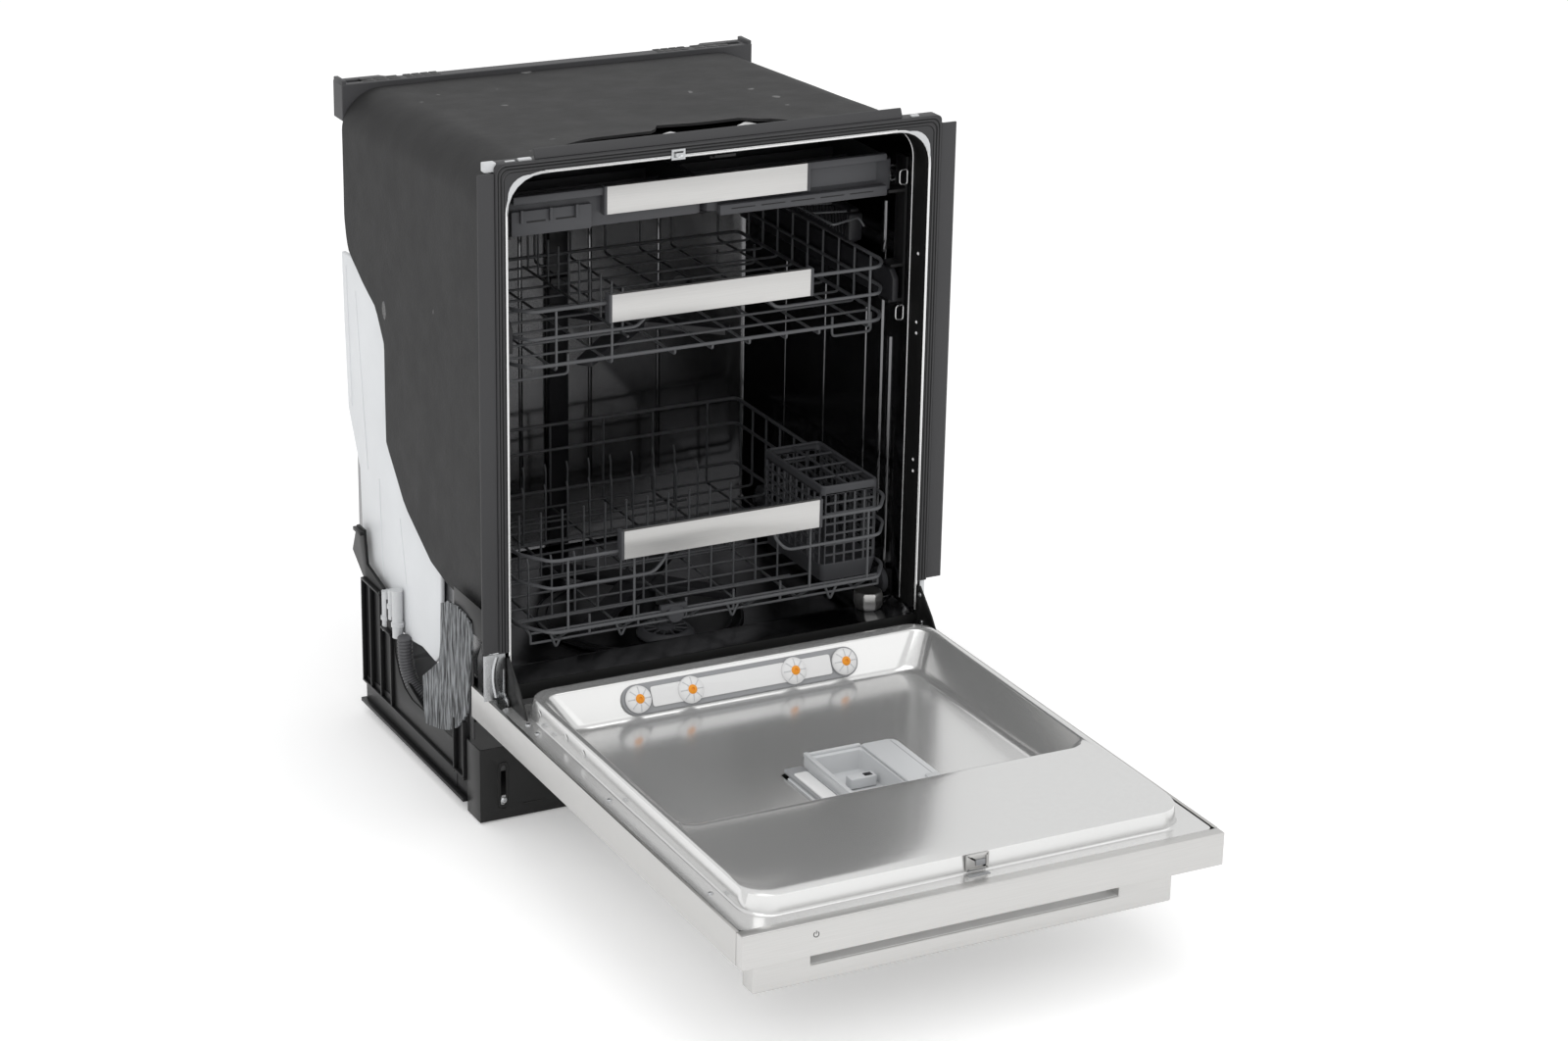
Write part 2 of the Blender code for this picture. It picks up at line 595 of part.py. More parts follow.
def build_dispenser(axis):
    """The detergent dispenser: body with its open compartment, sliding lid and catch."""
    bm = bmesh.new()
    outer = rounded(-0.0300, 0.0905, -0.4250, -0.2840, (0.004, 0.012, 0.012, 0.004), 2)
    inner = rounded(-0.0240, 0.0420, -0.4150, -0.2950, (0.004,) * 4, 2)
    cup(bm, outer, inner, "Z", 0.1755, 0.1425, 0.1500)
    body = make("dispenser_body", bm, "light_plastic", axis)
    bm = bmesh.new()
    prism(bm, [(-0.0580, 0.1450), (-0.0270, 0.1450), (-0.0270, 0.1640), (-0.0580, 0.1590)],
          "Y", -0.4080, -0.3000)
    combine(body, "UNION", "dispenser_lens_bay", bm, axis)
    lid_axis = pivot("dispenser_lid_axis", 0.064, -0.350, 0.178, axis)
    outline = rounded(0.0440, 0.0880, -0.4170, -0.2900, (0.003, 0.010, 0.010, 0.003), 2)
    make_prism("dispenser_lid", outline, "Z", 0.1760, 0.1795, "light_plastic", lid_axis)
    latch_axis = pivot("dispenser_latch_axis", 0.020, -0.338, 0.158, axis)
    bm = bmesh.new()
    box(bm, (0.0020, 0.0360), (-0.3450, -0.3310), (0.1510, 0.1640))
    make("dispenser_latch", bm, "light_plastic", latch_axis)


# Spray arms and small moving pieces -----------------------------------------------------------
def spray_arm(name, centre, long_reach, short_reach, z, hub, parent=None):
    """A four-bladed spray arm round its hub."""
    low, high = z
    outline = []
    for k, reach in enumerate((long_reach, short_reach) * 2):
        turn = 0.5 * pi * k + radians(45)
        ahead = Vector((cos(turn), sin(turn)))
        aside = Vector((-ahead.y, ahead.x))
        for along_arm, width in ((0.020, -0.017), (reach, -0.010), (reach, 0.010),
                                 (0.020, 0.017)):
            point = ahead * along_arm + aside * width
            outline.append((centre[0] + point.x, centre[1] + point.y))
    axis = pivot(f"{name}_axis", centre[0], centre[1], low, parent)
    arm = make_prism(name, outline, "Z", low, high, "rack_plastic", axis)
    bm = bmesh.new()
    cylinder(bm, hub[0], centre, hub[1], hub[2])
    combine(arm, "UNION", f"{name}_hub", bm, axis)


def build_filter_and_float():
    """The filter cylinder that twists out of the sump, and the float's cap."""
    centre, radius = (FILTER_X, FILTER_Y), FILTER_RADIUS
    bm = bmesh.new()
    turned(bm, [(0, 0.1000), (radius, 0.1000), (radius, 0.1655), (radius + 0.0065, 0.1655),
                (radius + 0.0065, 0.1690), (radius, 0.1760), (radius - 0.0035, 0.1760),
                (radius - 0.0035, 0.1030), (0, 0.1030)], centre, count=24)
    make("filter_cylinder", bm, "rack_plastic", pivot("filter_axis", *centre, 0.15),
         smooth=True)
    bm = bmesh.new()
    turned(bm, [(0, FLOOR_FRONT + GAP), (0.0140, FLOOR_FRONT + GAP), (0.0140, 0.2180),
                (0.0120, 0.2215), (0, 0.2215)], (0.232, 0.042), count=12)
    make("float_cap", bm, "zinc_steel", pivot("float_axis", 0.232, 0.042, FLOOR_FRONT))


# Racks --------------------------------------------------------------------------------------
def rack_loop(half, corner, front, cut, back, z):
    """A rail round a rack, with its front corners cut off."""
    return [(-half, back, z), (-half, cut, z), (-corner, front, z), (corner, front, z),
            (half, cut, z), (half, back, z)]


def wire_basket(name, loops, across, lengthways, parent):
    """A basket of welded wires from three families, each clear of itself."""
    bm = bmesh.new()
    for points in loops:
        tube(bm, points, WIRE * 1.3, loop=True)
    basket = make(name, bm, "coated_wire", parent)
    for label, family in (("across", across), ("lengthways", lengthways)):
        bm = bmesh.new()
        for points in family:
            tube(bm, points, WIRE)
        combine(basket, "UNION", f"{name}_{label}", bm, parent)
    return basket


def comb(name, axis_name, start, count, pitch, across, foot, height, thick, parent, plane):
    """A row of tines on one bar, as one flat comb."""
    outline = [(start - 0.006, foot - 0.0035)]
    end = start + pitch * (count - 1) + 0.006
    outline.append((end, foot - 0.0035))
    outline.append((end, foot))
    for i in reversed(range(count)):
        a = start + pitch * i
        outline += [(a + 0.002, foot), (a + 0.0012, foot + height), (a - 0.0012, foot + height),
                    (a - 0.002, foot)]
    outline.append((start - 0.006, foot))
    where = (start, across, foot) if plane == "Y" else (across, start, foot)
    axis = pivot(axis_name, *where, parent)
    make_prism(name, outline, plane, across - thick, across + thick, "coated_wire", axis)


def handle_strip(name, z, y, parent):
    """The flat steel strip on a rack's front."""
    low, high = z
    outline = [(y, low), (y + 0.0022, low), (y + 0.0022, high - 0.002), (y + 0.0065, high - 0.002),
               (y + 0.0065, high), (y, high)]
    make_prism(name, outline, "X", -HANDLE_HALF, HANDLE_HALF, "brushed_steel", parent)


def build_lower_rack():
    """The lower rack, its four rollers, its tine row and the cutlery basket."""
    axis = pivot("lower_rack_axis", 0, 0.24, 0.25)
    half, base, front, foot_y = 0.2495, 0.2330, 0.0000, 0.0350
    loops = [rack_loop(half, 0.222, front, 0.040, RACK_BACK, z) for z in (0.3480, 0.2560)]
    top = 0.3488
    across = []
    for y in (0.060, 0.155, 0.250, 0.345, 0.435):
        across.append([(-half + 0.003, y, top), (-half + 0.003, y, base + 0.0022),
                       (half - 0.003, y, base + 0.0022), (half - 0.003, y, top)])
    lengthways = []
    for x in (-0.190, -0.114, -0.038, 0.038, 0.114, 0.190):
        lengthways.append([(x, front + 0.003, top), (x, front + 0.003, 0.2560),
                           (x, foot_y, base), (x, RACK_BACK - 0.003, base),
                           (x, RACK_BACK - 0.003, top)])
    wire_basket("lower_rack", loops, across, lengthways, axis)
    handle_strip("lower_rack_handle", (0.3400, 0.3760), -0.0100, axis)
    for name, side, y in (("roller_front_left", -1, 0.075), ("roller_front_right", 1, 0.075),
                          ("roller_rear_left", -1, 0.405), ("roller_rear_right", 1, 0.405)):
        bm = bmesh.new()
        inner, outer = side * 0.2530, side * 0.2700
        turned(bm, [(0, inner), (0.0060, inner), (0.0060, side * 0.2625),
                    (0.0170, side * 0.2625), (0.0170, outer), (0, outer)],
               (y, 0.2188), "X", 16)
        make(name, bm, "rack_plastic", pivot(f"{name}_axis", inner, y, 0.2188, axis), smooth=True)
    comb("lower_tine_row", "lower_tine_axis", -0.215, 12, 0.031, 0.205, 0.2440, 0.085,
         0.0018, axis, "Y")
    basket_axis = pivot("cutlery_basket_axis", 0.20, 0.120, 0.2400, axis)
    outer = [(0.1630, 0.0430), (0.2430, 0.0430), (0.2430, 0.2020), (0.1630, 0.2020)]
    inner = [(0.1650, 0.0450), (0.2410, 0.0450), (0.2410, 0.2000), (0.1650, 0.2000)]
    bm = bmesh.new()
    cup(bm, outer, inner, "Z", 0.3700, 0.2420, 0.2445)
    make("cutlery_basket", bm, "rack_plastic", basket_axis)


def build_middle_rack():
    """The height-adjustable middle rack on its two rails, with tines and a spray arm."""
    rails = pivot("middle_rail_axis", 0, 0.24, 0.61)
    for side, name in ((-1, "middle_rail_left"), (1, "middle_rail_right")):
        inner, outer = 0.2530, 0.2612
        outline = [(0.0400, 0.6000), (0.4600, 0.6000), (0.4600, 0.6300), (0.4500, 0.6400),
                   (0.0500, 0.6400), (0.0400, 0.6300)]
        make_prism(name, outline, "X", *sorted((side * inner, side * outer)), "rack_plastic",
                   rails)
    axis = pivot("middle_rack_axis", 0, 0.24, 0.55, rails)
    half, base, front = 0.2490, 0.5740, 0.0360
    loops = [rack_loop(half, 0.232, front, 0.062, RACK_BACK, z) for z in (0.6490, 0.6150)]
    top = 0.6498
    across = []
    for y in (0.085, 0.170, 0.255, 0.340, 0.430):
        across.append([(-half + 0.003, y, top), (-half + 0.003, y, base + 0.0022),
                       (half - 0.003, y, base + 0.0022), (half - 0.003, y, top)])
    lengthways = []
    for x in (-0.195, -0.117, -0.039, 0.039, 0.117, 0.195):
        lengthways.append([(x, front + 0.003, top), (x, front + 0.003, base),
                           (x, RACK_BACK - 0.003, base), (x, RACK_BACK - 0.003, top)])
    wire_basket("middle_rack", loops, across, lengthways, axis)
    handle_strip("middle_rack_handle", (0.6270, 0.6610), 0.0265, axis)
    comb("middle_tine_row", "middle_tine_axis", 0.100, 10, 0.034, -0.080, 0.5850, 0.055,
         0.0018, axis, "X")
    spray_arm("middle_spray_arm", (0, 0.240), 0.185, 0.120, (0.5480, 0.5570),
              (0.024, 0.5460, 0.5700), axis)


def build_top_rack():
    """The shallow cutlery rack under the ceiling: two trays on rails behind one handle."""
    axis = pivot("top_rack_axis", 0, 0.24, 0.77)
    for side, name in ((-1, "top_rack_tray_left"), (1, "top_rack_tray_right")):
        lo, hi = sorted((side * 0.0020, side * 0.2560))
        outer = rounded(lo, hi, 0.0520, 0.4400, (0.010,) * 4, 2)
        inner = rounded(lo + 0.0025, hi - 0.0025, 0.0545, 0.4375, (0.008,) * 4, 2)
        bm = bmesh.new()
        cup(bm, outer, inner, "Z", 0.7790, 0.7400, 0.7425)
        make(name, bm, "rack_plastic", axis)
    handle_strip("top_rack_handle", (0.7550, 0.7890), 0.0410, axis)


def main():
    """Clear the scene and build every piece."""
    for old in list(bpy.data.objects):
        bpy.data.objects.remove(old)
    build_tub()
    build_front()
    build_damping_sheet()
    build_rear_bracket()
    build_side_fittings()
    build_base()
    build_machinery()
    build_spray_riser()
    build_rail_guides()
    build_hinge_brackets()
    build_door(pivot("door_axis", 0, HINGE_Y, HINGE_Z))
    spray_arm("lower_spray_arm", (ARM_X, ARM_Y), 0.180, 0.130, (0.2030, 0.2130),
              (0.024, 0.1653, 0.2160))
    spray_arm("upper_spray_arm", (0, 0.250), 0.110, 0.070, (0.7860, 0.7905),
              (0.018, 0.7850, 0.7952))
    build_filter_and_float()
    build_lower_rack()
    build_middle_rack()
    build_top_rack()


main()
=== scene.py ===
"""The looks of a built-in dishwasher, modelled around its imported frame.

Every size is in metres, in the frame's own axes: +Z up, the front facing -Y. Depths written
as offsets from the trim's face are made into places by Site.at().
"""
from __future__ import annotations

import logging
import math
from contextlib import contextmanager
from dataclasses import dataclass
from enum import Enum
from typing import Callable, Iterator, Sequence

import bpy  # noqa: E402
from mathutils import Matrix, Vector, noise  # noqa: E402

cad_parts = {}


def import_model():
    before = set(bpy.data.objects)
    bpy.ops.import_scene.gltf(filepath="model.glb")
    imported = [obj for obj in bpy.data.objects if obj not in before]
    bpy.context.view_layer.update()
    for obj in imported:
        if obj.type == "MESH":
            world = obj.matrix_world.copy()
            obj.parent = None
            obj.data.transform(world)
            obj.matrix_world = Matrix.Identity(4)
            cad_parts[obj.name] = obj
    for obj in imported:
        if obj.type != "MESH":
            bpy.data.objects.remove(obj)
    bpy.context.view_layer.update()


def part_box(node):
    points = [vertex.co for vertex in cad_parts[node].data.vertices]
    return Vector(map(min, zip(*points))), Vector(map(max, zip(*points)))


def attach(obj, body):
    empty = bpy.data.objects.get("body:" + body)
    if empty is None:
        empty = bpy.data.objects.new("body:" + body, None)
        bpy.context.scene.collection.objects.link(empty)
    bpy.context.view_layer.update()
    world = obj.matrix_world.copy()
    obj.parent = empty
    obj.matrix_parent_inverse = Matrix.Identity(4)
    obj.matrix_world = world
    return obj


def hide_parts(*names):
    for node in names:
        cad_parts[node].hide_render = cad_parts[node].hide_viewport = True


log = logging.getLogger("dishwasher")
Point = Sequence[float]
Outline = list[tuple[float, float]]
Piece = bpy.types.Object


class Axis(Enum):
    """The direction a profile is carried along."""

    X = 0
    Y = 1
    Z = 2


# Shader building ------------------------------------------------------------------------------
class Value:
    """A number socket on which Python's operators add Math nodes."""

    def __init__(self, recipe: "Recipe", socket: bpy.types.NodeSocket) -> None:
        """Keeps the socket and the recipe it belongs to."""
        self.recipe = recipe
        self.socket = socket

    def _math(self, operation: str, first: object, second: object) -> "Value":
        """Adds one Math node and returns its result."""
        node = self.recipe.node("ShaderNodeMath", {"operation": operation},
                                {0: first, 1: second})
        return Value(self.recipe, node.outputs[0])

    def __add__(self, other: object) -> "Value":
        """self + other."""
        return self._math("ADD", self, other)

    def __sub__(self, other: object) -> "Value":
        """self - other."""
        return self._math("SUBTRACT", self, other)

    def __rsub__(self, other: object) -> "Value":
        """other - self."""
        return self._math("SUBTRACT", other, self)

    def __mul__(self, other: object) -> "Value":
        """self * other."""
        return self._math("MULTIPLY", self, other)

    def __gt__(self, other: object) -> "Value":
        """1 where self is the larger, else 0."""
        return self._math("GREATER_THAN", self, other)

    __radd__ = __add__
    __rmul__ = __mul__


class Recipe:
    """One material's node tree and the steps that build it."""

    def __init__(self, name: str) -> None:
        """Starts a material with its Principled shader and its object coordinates."""
        self.material = bpy.data.materials.new(f"fine_{name}")
        self.material.use_nodes = True
        self.tree = self.material.node_tree
        self.shader = self.tree.nodes["Principled BSDF"]
        self.place = self.node("ShaderNodeTexCoord", {}, {}).outputs["Object"]

    def node(self, kind: str, settings: dict, sockets: dict) -> bpy.types.Node:
        """Adds a node.

        Args:
            kind: the node's type name.
            settings: its properties, set before its sockets.
            sockets: values or links for its inputs, by name or number.

        Returns:
            The new node.
        """
        made = self.tree.nodes.new(kind)
        for key, setting in settings.items():
            if key == "stops":
                self._stops(made.color_ramp, setting)
            else:
                setattr(made, key, setting)
        for key, given in sockets.items():
            source = given.socket if isinstance(given, Value) else given
            if isinstance(source, bpy.types.NodeSocket):
                self.tree.links.new(source, made.inputs[key])
            else:
                made.inputs[key].default_value = source
        return made

    @staticmethod
    def _stops(ramp: bpy.types.ColorRamp, stops: Sequence[tuple[float, float]]) -> None:
        """Sets a ramp's stops from (place, grey) pairs."""
        while len(ramp.elements) < len(stops):
            ramp.elements.new(1.0)
        for element, (where, grey) in zip(ramp.elements, stops):
            element.position = where
            element.color = (grey, grey, grey, 1.0)

    def stretched(self, scale: Point) -> bpy.types.NodeSocket:
        """Object coordinates scaled along each axis."""
        return self.node("ShaderNodeMapping", {}, {"Vector": self.place,
                                                   "Scale": tuple(scale)}).outputs[0]

    def noise(self, scale: float, stretch: Point = (1, 1, 1), detail: float = 3.0) -> Value:
        """Cloudy noise between about 0.3 and 0.7."""
        made = self.node("ShaderNodeTexNoise", {}, {"Vector": self.stretched(stretch),
                                                    "Scale": scale, "Detail": detail})
        return Value(self, made.outputs["Fac"])

    def ramp(self, value: Value, stops: Sequence[tuple[float, float]]) -> Value:
        """A value remapped through a grey ramp."""
        made = self.node("ShaderNodeValToRGB", {"stops": stops}, {0: value})
        return Value(self, made.outputs["Color"])

    def blend(self, factor: Value, low: Point, high: Point) -> bpy.types.NodeSocket:
        """A colour between two colours."""
        made = self.node("ShaderNodeMix", {"data_type": "RGBA"},
                         {0: factor, 6: (*low, 1.0), 7: (*high, 1.0)})
        return made.outputs[2]

    def feed(self, socket: str, given: object) -> None:
        """Sets or links one of the shader's own inputs."""
        source = given.socket if isinstance(given, Value) else given
        if isinstance(source, bpy.types.NodeSocket):
            self.tree.links.new(source, self.shader.inputs[socket])
        else:
            self.shader.inputs[socket].default_value = source

    def bump(self, height: Value, depth: float, strength: float = 1.0) -> None:
        """Feeds the shader's normal from a height."""
        made = self.node("ShaderNodeBump", {}, {"Height": height, "Distance": depth,
                                                "Strength": strength})
        self.feed("Normal", made.outputs[0])


def scaled(colour: Point, factor: float) -> tuple[float, float, float]:
    """A colour made darker or lighter."""
    return tuple(min(1.0, c * factor) for c in colour)


@dataclass(frozen=True)
class Finish:
    """A finish: what it is called, its colour and its roughness."""

    name: str
    colour: tuple[float, float, float]
    roughness: float
    slot: str

    def material(self) -> bpy.types.Material:
        """The material, made on its first use."""
        return bpy.data.materials.get(f"fine_{self.name}") or self.build()

    def build(self) -> bpy.types.Material:
        """Makes the node tree; each kind of finish has its own."""
        raise NotImplementedError


@dataclass(frozen=True)
class BrushedMetal(Finish):
    """Sheet metal with a fine grain, from satin to nearly polished."""

    grain: tuple[float, float, float] = (3.0, 260.0, 260.0)
    depth: float = 0.00002
    spread: float = 0.12
    tone: float = 0.10
    metal: float = 1.0

    def build(self) -> bpy.types.Material:
        """Streaks for the grain, with slow clouds under them."""
        recipe = Recipe(self.name)
        streaks = recipe.noise(6.0, self.grain, 4.0)
        clouds = recipe.noise(4.0, (1, 1, 1), 2.0)
        recipe.feed("Metallic", self.metal)
        recipe.feed("Base Color", recipe.blend(streaks, scaled(self.colour, 1 - self.tone),
                                               scaled(self.colour, 1 + self.tone)))
        recipe.feed("Roughness", self.roughness + (streaks - 0.5) * self.spread
                    + (clouds - 0.5) * self.spread)
        recipe.bump(streaks, self.depth)
        return recipe.material


@dataclass(frozen=True)
class Moulded(Finish):
    """Moulded plastic or a smooth coating, with a fine skin."""

    skin: float = 900.0
    depth: float = 0.00003
    tone: float = 0.08
    gloss: float = 0.3

    def build(self) -> bpy.types.Material:
        """A fine skin, and a slow change of tone and sheen."""
        recipe = Recipe(self.name)
        grain = recipe.noise(self.skin, (1, 1, 1), 2.0)
        clouds = recipe.noise(9.0, (1, 1, 1), 3.0)
        recipe.feed("Base Color", recipe.blend(clouds, scaled(self.colour, 1 - self.tone),
                                               scaled(self.colour, 1 + self.tone)))
        recipe.feed("Roughness", self.roughness + (clouds - 0.5) * 0.15)
        recipe.feed("Specular IOR Level", self.gloss)
        recipe.bump(grain, self.depth)
        return recipe.material


@dataclass(frozen=True)
class BitumenSheet(Finish):
    """The heavy damping sheet: matt, faintly mottled, with a few pale scuffs."""

    def build(self) -> bpy.types.Material:
        """Mottling, thin scuffs and a crumbly bump."""
        recipe = Recipe(self.name)
        mottle = recipe.noise(26.0, (1, 1, 1), 6.0)
        crumb = recipe.noise(420.0, (1, 1, 1), 3.0)
        fleck = recipe.noise(38.0, (1.0, 1.0, 0.45), 1.0) > 0.772
        patches = recipe.noise(3.0, (1, 1, 1), 2.0)
        tone = recipe.blend(mottle * 0.7 + patches * 0.3, scaled(self.colour, 0.82),
                            scaled(self.colour, 1.20))
        scuffed = recipe.node("ShaderNodeMix", {"data_type": "RGBA"},
                              {0: fleck * crumb, 6: tone, 7: (0.22, 0.22, 0.22, 1.0)})
        recipe.feed("Base Color", scuffed.outputs[2])
        recipe.feed("Roughness", self.roughness + (mottle - 0.5) * 0.2)
        recipe.feed("Specular IOR Level", 0.2)
        recipe.bump(crumb * 0.5 + mottle, 0.0006)
        return recipe.material


@dataclass(frozen=True)
class FibrePad(Finish):
    """Pressed fibre with strands running down it."""

    def build(self) -> bpy.types.Material:
        """Long pale strands over a dark mat."""
        recipe = Recipe(self.name)
        strands = recipe.ramp(recipe.noise(170.0, (1.0, 1.5, 0.16), 7.0),
                              [(0.38, 0.0), (0.62, 1.0)])
        recipe.feed("Base Color", recipe.blend(strands, scaled(self.colour, 0.22),
                                               scaled(self.colour, 2.5)))
        recipe.feed("Roughness", self.roughness)
        recipe.bump(strands, 0.0022)
        return recipe.material


@dataclass(frozen=True)
class PerforatedSteel(Finish):
    """Fine round holes in a dark steel sheet."""

    def build(self) -> bpy.types.Material:
        """Cells of a regular Voronoi pattern, dark in their middles."""
        recipe = Recipe(self.name)
        cells = recipe.node("ShaderNodeTexVoronoi", {}, {"Vector": recipe.place, "Scale": 420.0,
                                                         "Randomness": 0.0})
        solid = Value(recipe, cells.outputs["Distance"]) > 0.34
        recipe.feed("Metallic", 1.0)
        recipe.feed("Base Color", recipe.blend(solid, (0.01, 0.01, 0.01), self.colour))
        recipe.feed("Roughness", self.roughness)
        recipe.bump(solid, 0.0002)
        return recipe.material


class Finishes:
    """Every finish on the machine."""

    SATIN = BrushedMetal("satin_steel", (0.53, 0.525, 0.515), 0.34, "brushed_stainless")
    SATIN_HANDLE = BrushedMetal("satin_handle", (0.56, 0.555, 0.545), 0.32, "handle_metal",
                                metal=0.85)
    LINER = BrushedMetal("bright_liner", (0.72, 0.72, 0.715), 0.19, "polished_stainless",
                         (30.0, 30.0, 30.0), 0.00001, 0.06, 0.03, 0.74)
    # Painted shade: the tub's stainless steel is darkened far below its own colour to stand in for the
    # shade inside the tub.
    SHADED_TUB = BrushedMetal("tub_steel", (0.17, 0.17, 0.175), 0.17, "stainless_tub",
                       (30.0, 30.0, 30.0), 0.00002, 0.06, 0.10)
    ZINC = BrushedMetal("zinc_plate", (0.50, 0.51, 0.52), 0.30, "zinc_plated_steel",
                        (60.0, 60.0, 12.0), 0.00004, 0.15, 0.15)
    BRIGHT = BrushedMetal("bright_edge", (0.72, 0.72, 0.72), 0.20, "stainless_tub",
                          (40.0, 40.0, 40.0), 0.00001, 0.05, 0.03)
    TRIM = Moulded("trim_plastic", (0.036, 0.036, 0.038), 0.50, "trim_plastic")
    SEAL = Moulded("seal_plastic", (0.046, 0.046, 0.048), 0.55, "trim_plastic")
    # Painted shade: a near-black copy of the trim plastic, drawn along the trim's grooves.
    GROOVE_SHADE = Moulded("trim_groove_shade", (0.006, 0.006, 0.006), 0.60, "trim_plastic", tone=0.2)
    BLACK = Moulded("black_plastic", (0.007, 0.007, 0.0075), 0.42, "black_plastic", tone=0.2)
    BRACKET = Moulded("bracket_plastic", (0.055, 0.055, 0.058), 0.50, "black_plastic")
    BLACK_PAINT = Moulded("black_paint", (0.010, 0.010, 0.010), 0.38, "black_painted_steel")
    DARK_GREY = Moulded("rack_plastic", (0.060, 0.061, 0.066), 0.45, "grey_plastic")
    CHARCOAL = Moulded("charcoal_plastic", (0.016, 0.016, 0.018), 0.36, "grey_plastic")
    HOSE = Moulded("hose_plastic", (0.085, 0.085, 0.09), 0.42, "grey_plastic")
    WIRE = Moulded("coated_wire", (0.085, 0.087, 0.092), 0.34, "coated_wire", 500.0)
    LIGHT = Moulded("light_plastic", (0.55, 0.56, 0.57), 0.34, "light_grey_plastic", tone=0.03)
    MID = Moulded("mid_grey_plastic", (0.29, 0.295, 0.305), 0.38, "light_grey_plastic", tone=0.04)
    PALE = Moulded("pale_plastic", (0.74, 0.74, 0.74), 0.30, "light_grey_plastic", tone=0.02)
    WHITE = Moulded("white_plastic", (0.66, 0.675, 0.69), 0.40, "white_plastic", 300.0,
                    0.0001, 0.10)
    ORANGE = Moulded("orange_plastic", (0.80, 0.30, 0.02), 0.35, "light_grey_plastic")
    RUBBER = Moulded("black_rubber", (0.007, 0.007, 0.007), 0.50, "black_rubber", tone=0.3)
    BITUMEN = BitumenSheet("bitumen_sheet", (0.021, 0.021, 0.0215), 0.60, "bitumen_sheet")
    FIBRE = FibrePad("fibre_pad", (0.12, 0.125, 0.13), 0.95, "fibre_pad")
    FILTER = PerforatedSteel("filter_mesh", (0.14, 0.14, 0.145), 0.30, "filter_steel")
    PUMP = BrushedMetal("cast_pump", (0.30, 0.30, 0.31), 0.42, "pump_metal")


# Modelling ------------------------------------------------------------------------------------
class Site:
    """Where things stand: the frame's own landmarks."""

    front: float = 0.0

    @classmethod
    def survey(cls) -> None:
        """Reads the depth of the trim's face from the frame."""
        cls.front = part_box("front_trim")[0].y + 0.0010

    @classmethod
    def at(cls, x: float, y: float, z: float) -> Vector:
        """A place from its depth behind the trim's face."""
        return Vector((x, y + cls.front, z))


def clear_selection() -> None:
    """Deselects every object."""
    for one in list(bpy.context.selected_objects):
        one.select_set(False)
    bpy.context.view_layer.objects.active = None


def activate(piece: Piece) -> None:
    """Makes a piece the only selected object."""
    clear_selection()
    piece.select_set(True)
    bpy.context.view_layer.objects.active = piece


@contextmanager
def editing(piece: Piece, faces: Callable[[bpy.types.MeshPolygon], bool] | None = None,
            edges: Callable[[Vector, Vector], bool] | None = None) -> Iterator[None]:
    """Edit mode with chosen faces or edges selected; all faces when neither is given."""
    activate(piece)
    mesh = piece.data
    for group in (mesh.vertices, mesh.edges, mesh.polygons):
        group.foreach_set("select", [False] * len(group))
    mode = (False, edges is not None, edges is None)
    bpy.context.tool_settings.mesh_select_mode = mode
    if edges is not None:
        for edge in mesh.edges:
            a, b = (mesh.vertices[i].co for i in edge.vertices)
            edge.select = edges(a, b)
            for i in edge.vertices:
                mesh.vertices[i].select |= edge.select
    else:
        for face in mesh.polygons:
            face.select = faces is None or faces(face)
    bpy.ops.object.mode_set(mode="EDIT")
    yield
    bpy.ops.object.mode_set(mode="OBJECT")


def apply_modifier(piece: Piece, kind: str, **settings: object) -> None:
    """Adds a modifier to a piece and applies it."""
    activate(piece)
    step = piece.modifiers.new(kind.lower(), kind)
    for key, setting in settings.items():
        setattr(step, key, setting)
    bpy.ops.object.modifier_apply(modifier=step.name)


def smooth(piece: Piece, angle: float = 35.0) -> Piece:
    """Shades a piece smooth below an angle in degrees."""
    activate(piece)
    bpy.ops.object.shade_smooth_by_angle(angle=math.radians(angle))
    return piece


def rounded_edges(piece: Piece, width: float, segments: int = 2, angle: float = 35.0) -> Piece:
    """Bevels a piece's sharp edges and shades it."""
    if width > 0:
        apply_modifier(piece, "BEVEL", width=width, segments=segments, limit_method="ANGLE",
                       angle_limit=math.radians(angle), harden_normals=False,
                       use_clamp_overlap=True)
    return smooth(piece)


def settle(piece: Piece) -> Piece:
    """Applies a piece's place, turn and size to its mesh."""
    activate(piece)
    bpy.ops.object.transform_apply(location=True, rotation=True, scale=True)
    return piece


def outward(piece: Piece) -> Piece:
    """Merges doubled points and turns every face outwards."""
    with editing(piece):
        bpy.ops.mesh.remove_doubles(threshold=0.00001)
        bpy.ops.mesh.normals_make_consistent(inside=False)
    return piece


def block(low: Point, high: Point, bevel: float = 0.0008, segments: int = 2) -> Piece:
    """A box with rounded edges, from its two corners."""
    clear_selection()
    low, high = Vector(low), Vector(high)
    bpy.ops.mesh.primitive_cube_add(size=1.0, location=(low + high) / 2)
    made = bpy.context.object
    made.scale = [abs(v) for v in (high - low)]
    settle(made)
    return rounded_edges(made, bevel, segments)


def spread(axis: Axis, a: float, b: float, depth: float) -> Vector:
    """A place from its two flat coordinates and its place along an axis."""
    return Vector({Axis.X: (depth, a, b), Axis.Y: (a, depth, b), Axis.Z: (a, b, depth)}[axis])


